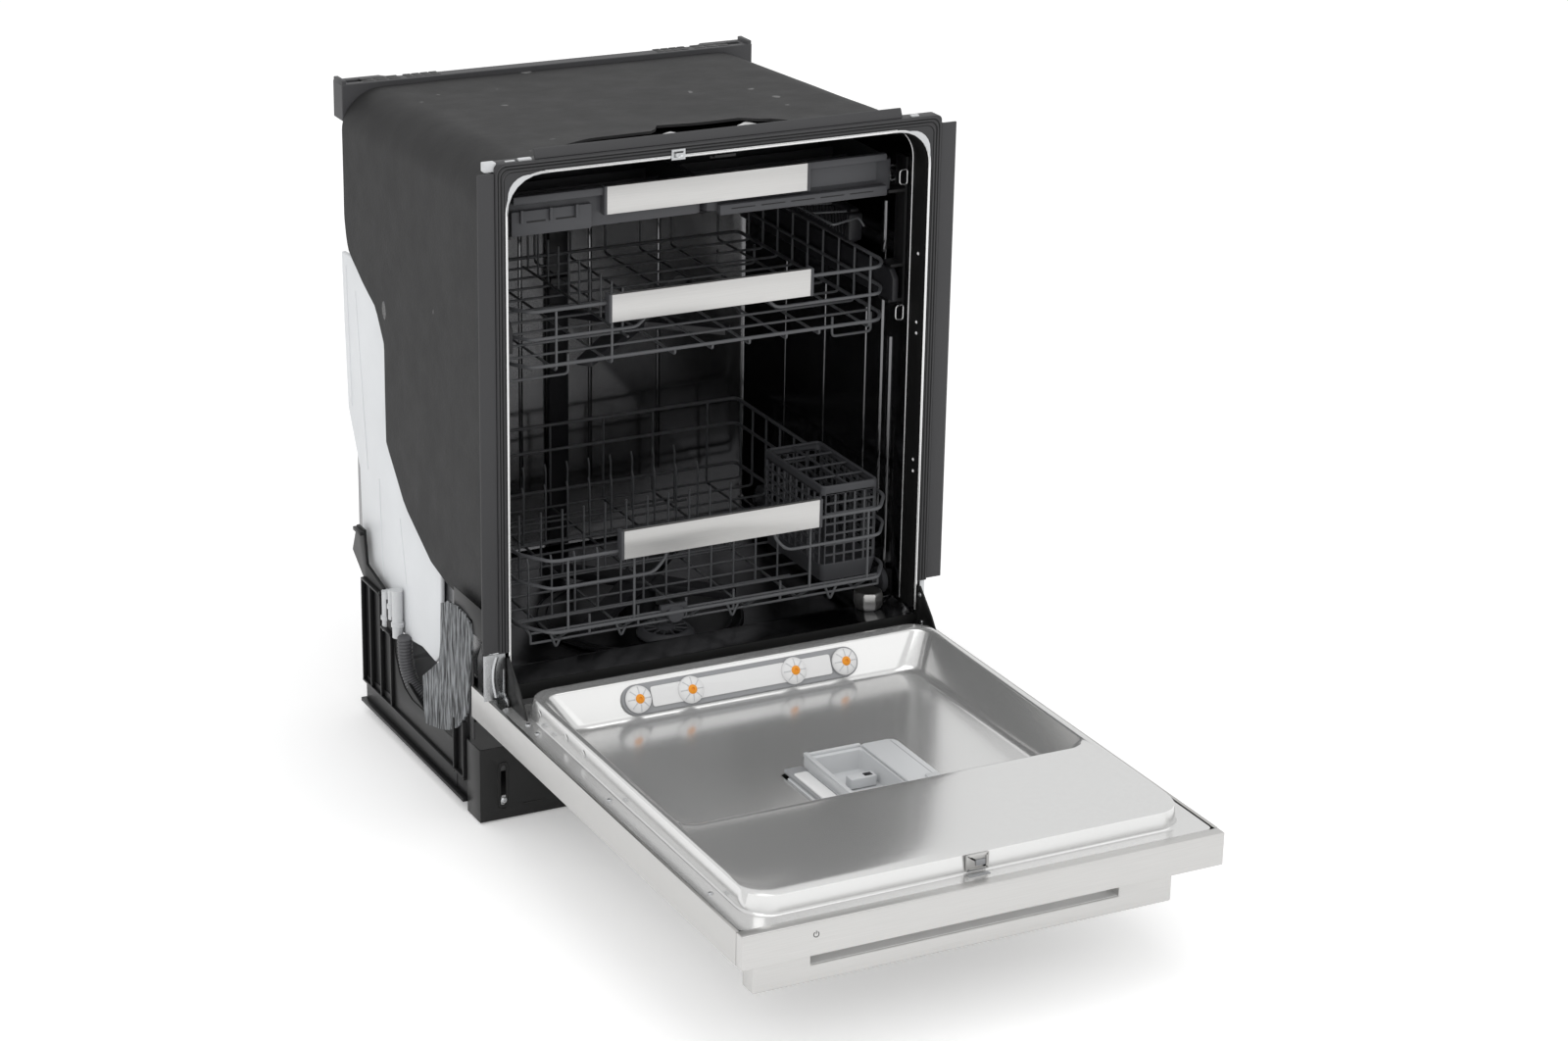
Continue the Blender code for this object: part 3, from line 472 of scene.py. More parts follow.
def plate(outline: Outline, axis: Axis, low: float, high: float, bevel: float = 0.0005,
          segments: int = 2) -> Piece:
    """A flat piece of any outline.

    Args:
        outline: its corners, in the two axes square to the thickness.
        axis: the axis its thickness runs along.
        low: where the thickness starts.
        high: where it ends.
        bevel: the rounding of its edges.
        segments: facets in the rounding.

    Returns:
        The piece.
    """
    clear_selection()
    bpy.ops.mesh.primitive_circle_add(vertices=len(outline), radius=1.0, fill_type="NGON")
    made = bpy.context.object
    for vertex, (a, b) in zip(made.data.vertices, outline):
        vertex.co = spread(axis, a, b, low)
    with editing(made):
        step = tuple(spread(axis, 0, 0, high - low))
        bpy.ops.mesh.extrude_region_move(TRANSFORM_OT_translate={"value": step})
        bpy.ops.mesh.select_all(action="SELECT")
        bpy.ops.mesh.normals_make_consistent(inside=False)
    return rounded_edges(made, bevel, segments)


def lofted(rings: Sequence[Sequence[Point]], closed: bool = False, capped: bool = True) -> Piece:
    """A skin through rings of equal length, started as a grid.

    Args:
        rings: the rings, each a closed loop of points.
        closed: whether the last ring joins the first.
        capped: whether the open ends are filled.

    Returns:
        The piece.
    """
    rows = list(rings) + ([rings[0]] if closed else [])
    across = len(rows[0])
    clear_selection()
    bpy.ops.mesh.primitive_grid_add(x_subdivisions=across, y_subdivisions=len(rows) - 1, size=1.0)
    made = bpy.context.object
    places = [Vector(row[k % across]) for row in rows for k in range(across + 1)]
    for vertex, place in zip(made.data.vertices, places):
        vertex.co = place
    with editing(made):
        bpy.ops.mesh.remove_doubles(threshold=0.000001)
    if capped and not closed:
        with editing(made):
            bpy.ops.mesh.select_mode(type="EDGE")
            bpy.ops.mesh.select_all(action="DESELECT")
            bpy.ops.mesh.select_non_manifold()
            bpy.ops.mesh.edge_face_add()
    return outward(made)


def turned(profile: Outline, centre: tuple[float, float], axis: Axis, steps: int = 32) -> Piece:
    """A piece spun about an axis from (radius, place) points; a ring when it starts off the axis."""
    rings = []
    for radius, depth in profile:
        ring = []
        for k in range(steps):
            turn = 2 * math.pi * k / steps
            ring.append(spread(axis, centre[0] + max(radius, 0.00002) * math.cos(turn),
                               centre[1] + max(radius, 0.00002) * math.sin(turn), depth))
        rings.append(ring)
    return smooth(lofted(rings, closed=profile[0][0] > 0))


def wires(runs: Sequence[Sequence[Point]], radius: float, bend: float = 0.008,
          loop: bool = False, sides: int = 2) -> Piece:
    """Round wires bent at their corners, joined in one piece.

    Args:
        runs: the corner points of each wire.
        radius: half the wire's thickness.
        bend: how far from a corner its bend starts.
        loop: whether each wire closes on itself.
        sides: the curve's bevel resolution.

    Returns:
        The piece, as a mesh.
    """
    curve = bpy.data.curves.new("wire", "CURVE")
    curve.dimensions = "3D"
    curve.bevel_depth = radius
    curve.bevel_resolution = sides
    curve.use_fill_caps = True
    for run in runs:
        points = bent([Vector(p) for p in run], bend, loop)
        spline = curve.splines.new("POLY")
        spline.points.add(len(points) - 1)
        for knot, point in zip(spline.points, points):
            knot.co = (*point, 1.0)
        spline.use_cyclic_u = loop
    made = bpy.data.objects.new("wire", curve)
    bpy.context.scene.collection.objects.link(made)
    activate(made)
    bpy.ops.object.convert(target="MESH")
    made = bpy.context.object
    return smooth(outward(made), 50.0)


def bent(points: list[Vector], bend: float, loop: bool) -> list[Vector]:
    """Points with every corner turned into a small curve."""
    count, made = len(points), []
    for i, point in enumerate(points):
        if not loop and i in (0, count - 1):
            made.append(point)
            continue
        before, after = points[i - 1], points[(i + 1) % count]
        reach = min(bend, (before - point).length * 0.45, (after - point).length * 0.45)
        start = point + (before - point).normalized() * reach
        end = point + (after - point).normalized() * reach
        for step in (0.0, 0.25, 0.5, 0.75, 1.0):
            first, second = start.lerp(point, step), point.lerp(end, step)
            made.append(first.lerp(second, step))
    return made


def refined(node: str, bevel: float, segments: int = 2, angle: float = 30.0) -> Piece:
    """A finer copy of a CAD node, with its sharp edges rounded."""
    source = bpy.data.objects[node]
    made = bpy.data.objects.new(f"{node}_fine", source.data.copy())
    bpy.context.scene.collection.objects.link(made)
    made.data.materials.clear()
    with editing(made):
        bpy.ops.mesh.customdata_custom_splitnormals_clear()
        bpy.ops.mesh.remove_doubles(threshold=0.00001)
        bpy.ops.mesh.dissolve_limited(angle_limit=math.radians(1.0))
    return rounded_edges(made, bevel, segments, angle)


def joined(pieces: Sequence[Piece]) -> Piece:
    """Several pieces as one."""
    if len(pieces) == 1:
        return pieces[0]
    clear_selection()
    for one in pieces:
        one.select_set(True)
    bpy.context.view_layer.objects.active = pieces[0]
    bpy.ops.object.join()
    return pieces[0]


def dress(piece: Piece, name: str, body: str, finish: Finish,
          replaces: Sequence[str] = ()) -> Piece:
    """Names a piece, gives it its finish and puts it on its body.

    Args:
        piece: the finished mesh.
        name: its name.
        body: the CAD body it rides on.
        finish: its finish.
        replaces: the CAD nodes it stands for.

    Returns:
        The piece.
    """
    piece.name = name
    piece.data.name = name
    piece.data.materials.clear()
    piece.data.materials.append(finish.material())
    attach(piece, body)
    if replaces:
        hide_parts(*replaces)
    log.info("made %s on %s", name, body)
    return piece


def arch(half: float, top: float, radius: float, low: float, steps: int = 10) -> Outline:
    """An arch line: up the left, over two round corners and down the right."""
    points = [(-half, low)]
    for start, a in ((math.pi, -half + radius), (0.5 * math.pi, half - radius)):
        for i in range(steps + 1):
            turn = start - 0.5 * math.pi * i / steps
            points.append((a + radius * math.cos(turn), top - radius + radius * math.sin(turn)))
    points.append((half, low))
    return points


def rounded(a0: float, a1: float, b0: float, b1: float, radius: float,
            steps: int = 6) -> Outline:
    """A rectangle with round corners."""
    points = []
    for a, b, start in ((a0 + radius, b0 + radius, math.pi), (a1 - radius, b0 + radius, -math.pi / 2),
                        (a1 - radius, b1 - radius, 0.0), (a0 + radius, b1 - radius, math.pi / 2)):
        for i in range(steps + 1):
            turn = start + 0.5 * math.pi * i / steps
            points.append((a + radius * math.cos(turn), b + radius * math.sin(turn)))
    return points


def screw(place: Vector, axis: Axis, sign: float, radius: float = 0.0038) -> Piece:
    """A pan-head screw with a small round recess, standing out along an axis."""
    flat = {Axis.X: (place.y, place.z), Axis.Y: (place.x, place.z), Axis.Z: (place.x, place.y)}
    base = place[axis.value]
    rise = radius * 0.55 * sign
    head = turned([(0, base - rise * 0.2), (radius, base - rise * 0.2), (radius, base + rise * 0.3),
                   (radius * 0.7, base + rise * 0.85), (radius * 0.25, base + rise),
                   (radius * 0.2, base + rise * 0.5), (0, base + rise * 0.45)],
                  flat[axis], axis, 16)
    return head


# Cabinet --------------------------------------------------------------------------------------
@dataclass
class Tub:
    """The stainless tub, its bright mouth and its gasket."""

    half: float = 0.2775
    top: float = 0.8280
    slope: float = 0.0476
    sheet: float = 0.0015
    back: float = 0.4935
    corner: float = 0.0435
    steps: int = 10
    floor: tuple[tuple[float, float], ...] = ((0.0, 0.198), (0.050, 0.198), (0.056, 0.197),
                                              (0.064, 0.188), (0.070, 0.176), (0.078, 0.164),
                                              (0.086, 0.162))

    def ring(self, depth: float, low: float, grow: float) -> list[Vector]:
        """The tub's section at one depth."""
        half, top = self.half + grow, self.top - self.slope * depth + grow
        section = arch(half, top, self.corner + grow, low - grow + 0.012, self.steps)
        for turn in (0.0, 0.5, 1.0):
            lean = 0.5 * math.pi * turn
            section.append((half - 0.012 + 0.012 * math.cos(lean),
                            low - grow + 0.012 - 0.012 * math.sin(lean)))
        for turn in (1.0, 0.5, 0.0):
            lean = 0.5 * math.pi * turn
            section.append((-half + 0.012 - 0.012 * math.cos(lean),
                            low - grow + 0.012 - 0.012 * math.sin(lean)))
        return [Site.at(a, depth, b) for a, b in section]

    def build(self) -> None:
        """Builds the shell, the ledges, the bright edges and the wall fittings."""
        depths = list(self.floor) + [(y, 0.162) for y in (0.15, 0.25, 0.35, 0.45)]
        last = [(self.back - 0.004, 0.162), (self.back, 0.166)]
        outside = [self.ring(y, z, self.sheet) for y, z in reversed(depths)]
        outside.insert(0, self.ring(self.back + self.sheet, 0.162, self.sheet))
        inside = [self.ring(y, z, 0.0) for y, z in depths + last[:1]]
        inside.append([p.lerp(Site.at(0, self.back, 0.49), 0.012) for p in
                       self.ring(self.back - 0.001, 0.162, 0.0)])
        dress(smooth(lofted(outside + inside), 40.0), "tub_shell", "cabinet", Finishes.SHADED_TUB, ["tub"])
        for side, name in ((-1, "left"), (1, "right")):
            low = Site.at(side * 0.2610, 0.0600, 0.1985)
            high = Site.at(side * 0.2770, 0.4700, 0.2015)
            dress(block(low, high, 0.0008), f"roller_ledge_{name}", "cabinet", Finishes.SHADED_TUB)
        self.edges()
        self.walls()

    def edges(self) -> None:
        """The bright rolled mouth, the black gasket and the bright bead inside it."""
        run = [Site.at(a, 0.0012, b) for a, b in arch(self.half - 0.0003, self.top - 0.0003,
                                                      self.corner, 0.2030)]
        dress(wires([run], 0.0021, 0.001, sides=3), "tub_rolled_edge", "cabinet", Finishes.BRIGHT)
        line = arch(self.half - 0.0006, self.top - 0.0008, self.corner - 0.001, 0.2045)
        rings = []
        for depth, lift in ((0.005, 0.0), (0.012, 0.0012), (0.020, 0.0), (0.028, 0.0012),
                            (0.0355, 0.0)):
            fall = self.slope * depth
            outer = [Site.at(a, depth, b - fall) for a, b in line]
            inner = [Site.at(a * (1 - (0.0014 + lift) / self.half), depth,
                             b - fall - (0.0014 + lift)) for a, b in line]
            rings.append(outer + inner[::-1])
        dress(smooth(lofted(rings), 50.0), "mouth_gasket", "cabinet", Finishes.RUBBER,
              ["tub_gasket"])
        bead = [Site.at(a, 0.0400, b - self.slope * 0.04)
                for a, b in arch(self.half - 0.0012, self.top - 0.0012, self.corner, 0.2030)]
        dress(wires([bead], 0.0011, 0.001), "tub_bead", "cabinet", Finishes.BRIGHT)

    def walls(self) -> None:
        """Pressed ribs, rail clips and studs on the side walls and on the back."""
        ribs, clips, studs = [], [], []
        for side in (-1, 1):
            for y in (0.150, 0.260, 0.370):
                run = [Site.at(side * (self.half + 0.0010), y, z) for z in (0.240, 0.560)]
                ribs.append(wires([run], 0.0030, 0.001, sides=3))
            for y, z in ((0.0165, 0.6662), (0.0155, 0.5788), (0.0148, 0.5649), (0.0125, 0.4006),
                         (0.0118, 0.3856)):
                place = Site.at(side * (self.half - 0.0034), y, z)
                studs.append(turned([(0, place.x), (0.0022, place.x), (0, place.x - side * 0.0018)],
                                    (place.y, place.z), Axis.X, 10))
            for y, z in ((0.0500, 0.7550), (0.0500, 0.5820), (0.1050, 0.7450)):
                x0, x1 = side * 0.2640, side * 0.2745
                frame = [Site.at(x1, y, z - 0.0100), Site.at(x0, y, z - 0.0085),
                         Site.at(x0, y, z + 0.0085), Site.at(x1, y, z + 0.0100)]
                clips.append(wires([frame], 0.0010, 0.004, loop=True))
            for y, z0, z1 in ((0.1080, 0.3000, 0.7100), (0.0860, 0.2300, 0.5400)):
                run = [Site.at(side * (self.half + 0.0015), y, z) for z in (z0, z1)]
                ribs.append(wires([run], 0.0050, 0.001, sides=4))
        for x in (-0.15, -0.05, 0.05, 0.15):
            run = [Site.at(x, self.back + 0.0008, z) for z in (0.25, 0.74)]
            ribs.append(wires([run], 0.0035, 0.001, sides=3))
        dress(joined(ribs), "tub_wall_ribs", "cabinet", Finishes.SHADED_TUB)
        dress(joined(clips), "rail_clips", "cabinet", Finishes.BRIGHT)
        dress(joined(studs), "gasket_studs", "cabinet", Finishes.PALE)


@dataclass
class FrontTrim:
    """The moulded trim round the mouth, with its seals and the small fittings on it."""

    ribs: tuple[float, ...] = (0.2895, 0.2862, 0.2820)
    shaded_grooves: tuple[float, ...] = (0.2878, 0.2843, 0.2805)

    def build(self) -> None:
        """Builds the trim, its ribs, the seals, the flap and the catch."""
        dress(refined("front_trim", 0.0006), "trim_frame", "cabinet", Finishes.TRIM, ["front_trim"])
        strips = []
        for half in self.ribs:
            top = 0.8425 - (0.2915 - half)
            run = [Site.at(a, -0.0010, b) for a, b in arch(half, top, 0.012, 0.2425)]
            strips.append(wires([run], 0.0011, 0.001))
        seal = block(Site.at(-0.2765, -0.0028, 0.1785), Site.at(0.2765, 0.0000, 0.1985), 0.0006)
        dress(seal, "sill_seal", "cabinet", Finishes.RUBBER)
        dress(joined(strips), "trim_ribs", "cabinet", Finishes.SEAL)
        # Dark wires along the trim's grooves: painted shade in the grooves.
        shaded_grooves = []
        for half in self.shaded_grooves:
            top = 0.8425 - (0.2915 - half)
            run = [Site.at(a, -0.0007, b) for a, b in arch(half, top, 0.010, 0.2425)]
            shaded_grooves.append(wires([run], 0.0007, 0.001))
        dress(joined(shaded_grooves), "groove_shade_wires", "cabinet", Finishes.GROOVE_SHADE)
        for side in ("left", "right"):
            node = f"side_seal_{side}"
            dress(refined(node, 0.0009, 3), f"{node}_lip", "cabinet", Finishes.SEAL, [node])
        dress(refined("top_seal_flap", 0.0012, 3), "top_flap", "cabinet", Finishes.SEAL,
              ["top_seal_flap"])
        self.fittings()

    def fittings(self) -> None:
        """The pale corner tapes, the centre tab and the door's strike."""
        tapes = [block(Site.at(-0.2600, 0.0030, 0.8420), Site.at(-0.2440, 0.0090, 0.8452), 0.0008),
                 block(Site.at(-0.2760, 0.0050, 0.8420), Site.at(-0.2640, 0.0080, 0.8438), 0.0004),
                 block(Site.at(-0.3030, 0.0030, 0.8330), Site.at(-0.2880, 0.0140, 0.8440), 0.0012),
                 block(Site.at(0.2520, 0.0030, 0.8420), Site.at(0.2620, 0.0090, 0.8446), 0.0006)]
        for side in (-1, 1):
            wedge = [(0.2240, 0.8268)]
            wedge += [(0.2510 + 0.0250 * math.sin(t), 0.8018 + 0.0250 * math.cos(t))
                      for t in (math.radians(15 * k) for k in range(7))]
            wedge += [(0.2768, 0.7800)]
            wedge += [(0.2330 + 0.0435 * math.cos(t), 0.7830 + 0.0435 * math.sin(t))
                      for t in (math.radians(15 * k) for k in range(7))]
            tapes.append(plate([(side * a, b) for a, b in wedge], Axis.Y, Site.front - 0.0016,
                               Site.front - 0.0009, 0.0))
        dress(joined(tapes), "corner_tapes", "cabinet", Finishes.LIGHT)
        tab = block(Site.at(-0.0700, -0.0026, 0.8245), Site.at(-0.0520, -0.0004, 0.8375), 0.0005)
        with editing(tab, lambda f: f.normal.y < -0.9 and f.area > 0.00005):
            bpy.ops.mesh.inset(thickness=0.0022)
            bpy.ops.mesh.extrude_region_move(TRANSFORM_OT_translate={"value": (0, 0.0008, 0)})
        dress(tab, "centre_tab", "cabinet", Finishes.ZINC)
        dress(refined("door_strike", 0.0006), "strike_hook", "cabinet", Finishes.BLACK_PAINT,
              ["door_strike"])
        line = block(Site.at(-0.2300, -0.0016, 0.8294), Site.at(0.2300, -0.0009, 0.8302), 0.0002)
        dress(line, "trim_lower_line", "cabinet", Finishes.BRIGHT)


@dataclass
class SoundBlanket:
    """The bitumen sheet laid over the tub, with its wavy cut edges."""

    half: float = 0.2865
    top: float = 0.8364
    slope: float = 0.0476
    thick: float = 0.0032
    corner: float = 0.0520
    edge: tuple[tuple[float, float], ...] = (
        (0.4970, 0.790), (0.4960, 0.705), (0.4960, 0.659), (0.4900, 0.628), (0.4840, 0.614),
        (0.4720, 0.604), (0.4330, 0.580), (0.3940, 0.562), (0.3660, 0.521), (0.3660, 0.391),
        (0.3060, 0.327), (0.2170, 0.280), (0.1290, 0.264), (0.0190, 0.262))

    def rear(self, height: float) -> float:
        """Depth of the sheet's rear edge at a height."""
        for (y0, z0), (y1, z1) in zip(self.edge, self.edge[1:]):
            if z1 <= height <= z0:
                share = (height - z1) / max(z0 - z1, 1e-6)
                return y1 + (y0 - y1) * share
        return self.edge[0][0]

    def front(self, x: float, height: float) -> float:
        """Depth of the sheet's front edge: it runs back in waves over the middle."""
        if height < self.top - 0.012:
            return 0.0190
        knots = [(-0.24, 0.019), (-0.20, 0.060), (-0.125, 0.086), (-0.048, 0.088), (-0.040, 0.114),
                 (0.018, 0.108), (0.073, 0.110), (0.098, 0.090), (0.130, 0.062), (0.20, 0.019)]
        for (x0, y0), (x1, y1) in zip(knots, knots[1:]):
            if x0 <= x <= x1:
                share = (x - x0) / (x1 - x0)
                return y0 + (y1 - y0) * (share * share * (3 - 2 * share))
        return 0.0190

    def section(self) -> Outline:
        """Evenly sampled points along the sheet's arch."""
        rough = arch(self.half, self.top, self.corner, 0.262, 12)
        points = []
        for (a0, b0), (a1, b1) in zip(rough, rough[1:]):
            pieces = max(1, round(math.hypot(a1 - a0, b1 - b0) / 0.010))
            points += [(a0 + (a1 - a0) * i / pieces, b0 + (b1 - b0) * i / pieces)
                       for i in range(pieces)]
        return points + [rough[-1]]

    def build(self) -> None:
        """Builds the sheet, the foil under its lifted front edge and a black sheet that paints the shadow
        under that edge.
        """
        section, across = self.section(), 26
        clear_selection()
        bpy.ops.mesh.primitive_grid_add(x_subdivisions=len(section) - 1, y_subdivisions=across,
                                        size=1.0)
        sheet = bpy.context.object
        places = []
        for row in range(across + 1):
            for a, b in section:
                start = self.front(a, b)
                end = self.rear(min(b, 0.79))
                depth = start + (end - start) * row / across
                fall = self.slope * depth * max(0.0, min(1.0, (b - 0.60) / 0.22))
                crumple = noise.noise(Vector((a * 9, depth * 9, b * 9))) * 0.0011
                lift = 0.0022 * max(0.0, 1 - row / 3) if b > self.top - 0.004 else 0.0
                places.append(Site.at(a - math.copysign(0.0008, a) + crumple * 0.4, depth,
                                      b - fall + crumple - 0.0012 + lift))
        for vertex, place in zip(sheet.data.vertices, places):
            vertex.co = place
        with editing(sheet):
            bpy.ops.mesh.remove_doubles(threshold=0.00001)
            bpy.ops.mesh.normals_make_consistent(inside=False)
        middle = sheet.data.polygons[len(sheet.data.polygons) // 2]
        if middle.normal.z < 0:
            with editing(sheet):
                bpy.ops.mesh.flip_normals()
        apply_modifier(sheet, "SOLIDIFY", thickness=self.thick, offset=-1.0)
        dress(smooth(sheet, 50.0), "sound_blanket", "cabinet", Finishes.BITUMEN, ["damping_sheet"])
        foils = []
        for x0, x1, y0, y1 in ((-0.070, -0.005, 0.070, 0.100), (0.030, 0.100, 0.066, 0.108)):
            outline = [(x0, y0 + Site.front), (x1, y0 + Site.front), (x1 - 0.018, y1 + Site.front),
                       (x0 + 0.012, y0 + 0.012 + Site.front)]
            foils.append(plate(outline, Axis.Z, 0.8284, 0.8300, 0.0002))
        dress(joined(foils), "foil_corners", "cabinet", Finishes.PALE)
        # Painted shadow: a black sheet under the blanket's wavy front edge, between the foil corners, not a
        # real layer.
        under = block(Site.at(-0.240, 0.021, 0.8225), Site.at(0.200, 0.140, 0.8240), 0.0004)
        dress(under, "blanket_edge_painted_shadow", "cabinet", Finishes.BLACK)


@dataclass
class RearBracket:
    """The moulded bar across the top of the back, with painted shade for its pockets."""

    def build(self) -> None:
        """Builds the bar, and near-black blocks on both ends of its top that paint the shade in its
        pockets.
        """
        low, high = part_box("rear_top_bracket")
        bar = refined("rear_top_bracket", 0.0, 1)
        rims = []
        for side in (-1, 1):
            x = side * 0.2835
            rims.append(block((x - 0.0030, low.y + 0.001, high.z - 0.012),
                              (x + 0.0030, high.y - 0.001, high.z + 0.0045), 0.0008))
        dress(rounded_edges(bar, 0.0012, 2), "rear_bar", "cabinet", Finishes.BRACKET,
              ["rear_top_bracket"])
        dress(joined(rims), "rear_bar_rims", "cabinet", Finishes.BRACKET)
        # Painted shade: near-black blocks over the bar's top stand in for the shade in its pockets.
        pocket_shades = []
        for side in (-1, 1):
            for x0, x1, count in ((0.2060, 0.2590, 3), (0.1520, 0.1990, 4)):
                width = (x1 - x0) / count
                for k in range(count):
                    for near, far in ((0.0050, 0.0125), (0.0150, 0.0225)):
                        a, b = sorted((side * (x0 + width * k), side * (x0 + width * (k + 0.85))))
                        pocket_shades.append(block((a, low.y + near, high.z - 0.0010),
                                           (b, low.y + far, high.z + 0.0003), 0.0002))
        dress(joined(pocket_shades), "rear_bar_pocket_shade", "cabinet", Finishes.BLACK)


@dataclass
class SideFittings:
    """The water guide, the drain hose and the fibre pad on the left."""

    rings: int = 150

    def build(self) -> None:
        """Builds the guide, the connectors, the hose and the pad."""
        guide = refined("water_guide", 0.0022, 3)
        dress(guide, "water_guide_shell", "cabinet", Finishes.WHITE, ["water_guide"])
        low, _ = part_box("water_guide")
        seams = []
        for y0, z0, y1, z1 in ((0.502, 0.585, 0.492, 0.400), (0.470, 0.560, 0.440, 0.330),
                               (0.400, 0.330, 0.392, 0.200), (0.330, 0.300, 0.300, 0.165)):
            seams.append(wires([[Site.at(low.x - 0.0001, y0, z0), Site.at(low.x - 0.0001, y1, z1)]],
                               0.0007, 0.001))
        dress(joined(seams), "water_guide_seams", "cabinet", Finishes.WHITE)
        sockets = []
        for y, bottom, top, radius in ((0.3620, 0.138, 0.192, 0.0062), (0.3240, 0.142, 0.206, 0.0070),
                                       (0.3430, 0.160, 0.200, 0.0050)):
            sockets.append(turned([(0, bottom), (radius, bottom), (radius, bottom + 0.014),
                                   (radius + 0.0015, bottom + 0.015), (radius + 0.0015, bottom + 0.020),
                                   (radius, bottom + 0.021), (radius, top), (0, top)],
                                  (-0.2945, y + Site.front), Axis.Z, 20))
        dress(joined(sockets), "hose_connectors", "cabinet", Finishes.LIGHT)
        self.hose()
        self.pad()

    def hose(self) -> None:
        """The corrugated drain hose, from the guide down to the pump."""
        knots = [Site.at(*p) for p in ((-0.2930, 0.304, 0.150), (-0.2930, 0.306, 0.100),
                                       (-0.2930, 0.292, 0.062), (-0.280, 0.245, 0.064),
                                       (-0.215, 0.215, 0.056), (-0.150, 0.192, 0.060))]
        rings = []
        for i in range(self.rings):
            t = i / (self.rings - 1)
            here, ahead = self.point(knots, t), self.point(knots, min(1.0, t + 0.01))
            behind = self.point(knots, max(0.0, t - 0.01))
            heading = (ahead - behind).normalized()
            side = heading.cross(Vector((1, 0.2, 0))).normalized()
            lift = side.cross(heading)
            radius = 0.0098 if i % 3 else 0.0082
            rings.append([here + (side * math.cos(2 * math.pi * k / 16)
                                  + lift * math.sin(2 * math.pi * k / 16)) * radius
                          for k in range(16)])
        dress(smooth(lofted(rings), 60.0), "corrugated_hose", "cabinet", Finishes.HOSE,
              ["drain_hose"])

    @staticmethod
    def point(knots: list[Vector], t: float) -> Vector:
        """A point on the curve that the knots control."""
        row = list(knots)
        while len(row) > 1:
            row = [a.lerp(b, t) for a, b in zip(row, row[1:])]
        return row[0]

    def pad(self) -> None:
        """The fibre pad, with a rough surface and loose edges."""
        outline = [(y + Site.front, z) for y, z in (
            (0.1627, 0.2483), (0.1400, 0.2600), (0.1102, 0.2640), (0.0850, 0.2620), (0.0680, 0.2560),
            (0.0640, 0.2321), (0.0740, 0.1800), (0.0820, 0.1328), (0.1100, 0.1050), (0.1401, 0.0878),
            (0.1800, 0.0740), (0.2185, 0.0663), (0.2240, 0.0900), (0.2256, 0.1278), (0.1950, 0.1500),
            (0.1700, 0.1688), (0.1640, 0.2050))]
        pad = plate(outline, Axis.X, -0.3005, -0.2978, 0.0)
        with editing(pad):
            bpy.ops.mesh.quads_convert_to_tris()
            bpy.ops.mesh.subdivide(number_cuts=5)
        for vertex in pad.data.vertices:
            place = vertex.co
            wave = noise.noise(Vector((place.x * 30, place.y * 160, place.z * 22)))
            vertex.co = place + Vector((wave * 0.0012, wave * 0.0015, wave * 0.0010))
        dress(smooth(pad, 60.0), "fibre_pad_mat", "cabinet", Finishes.FIBRE, ["insulation_pad"])


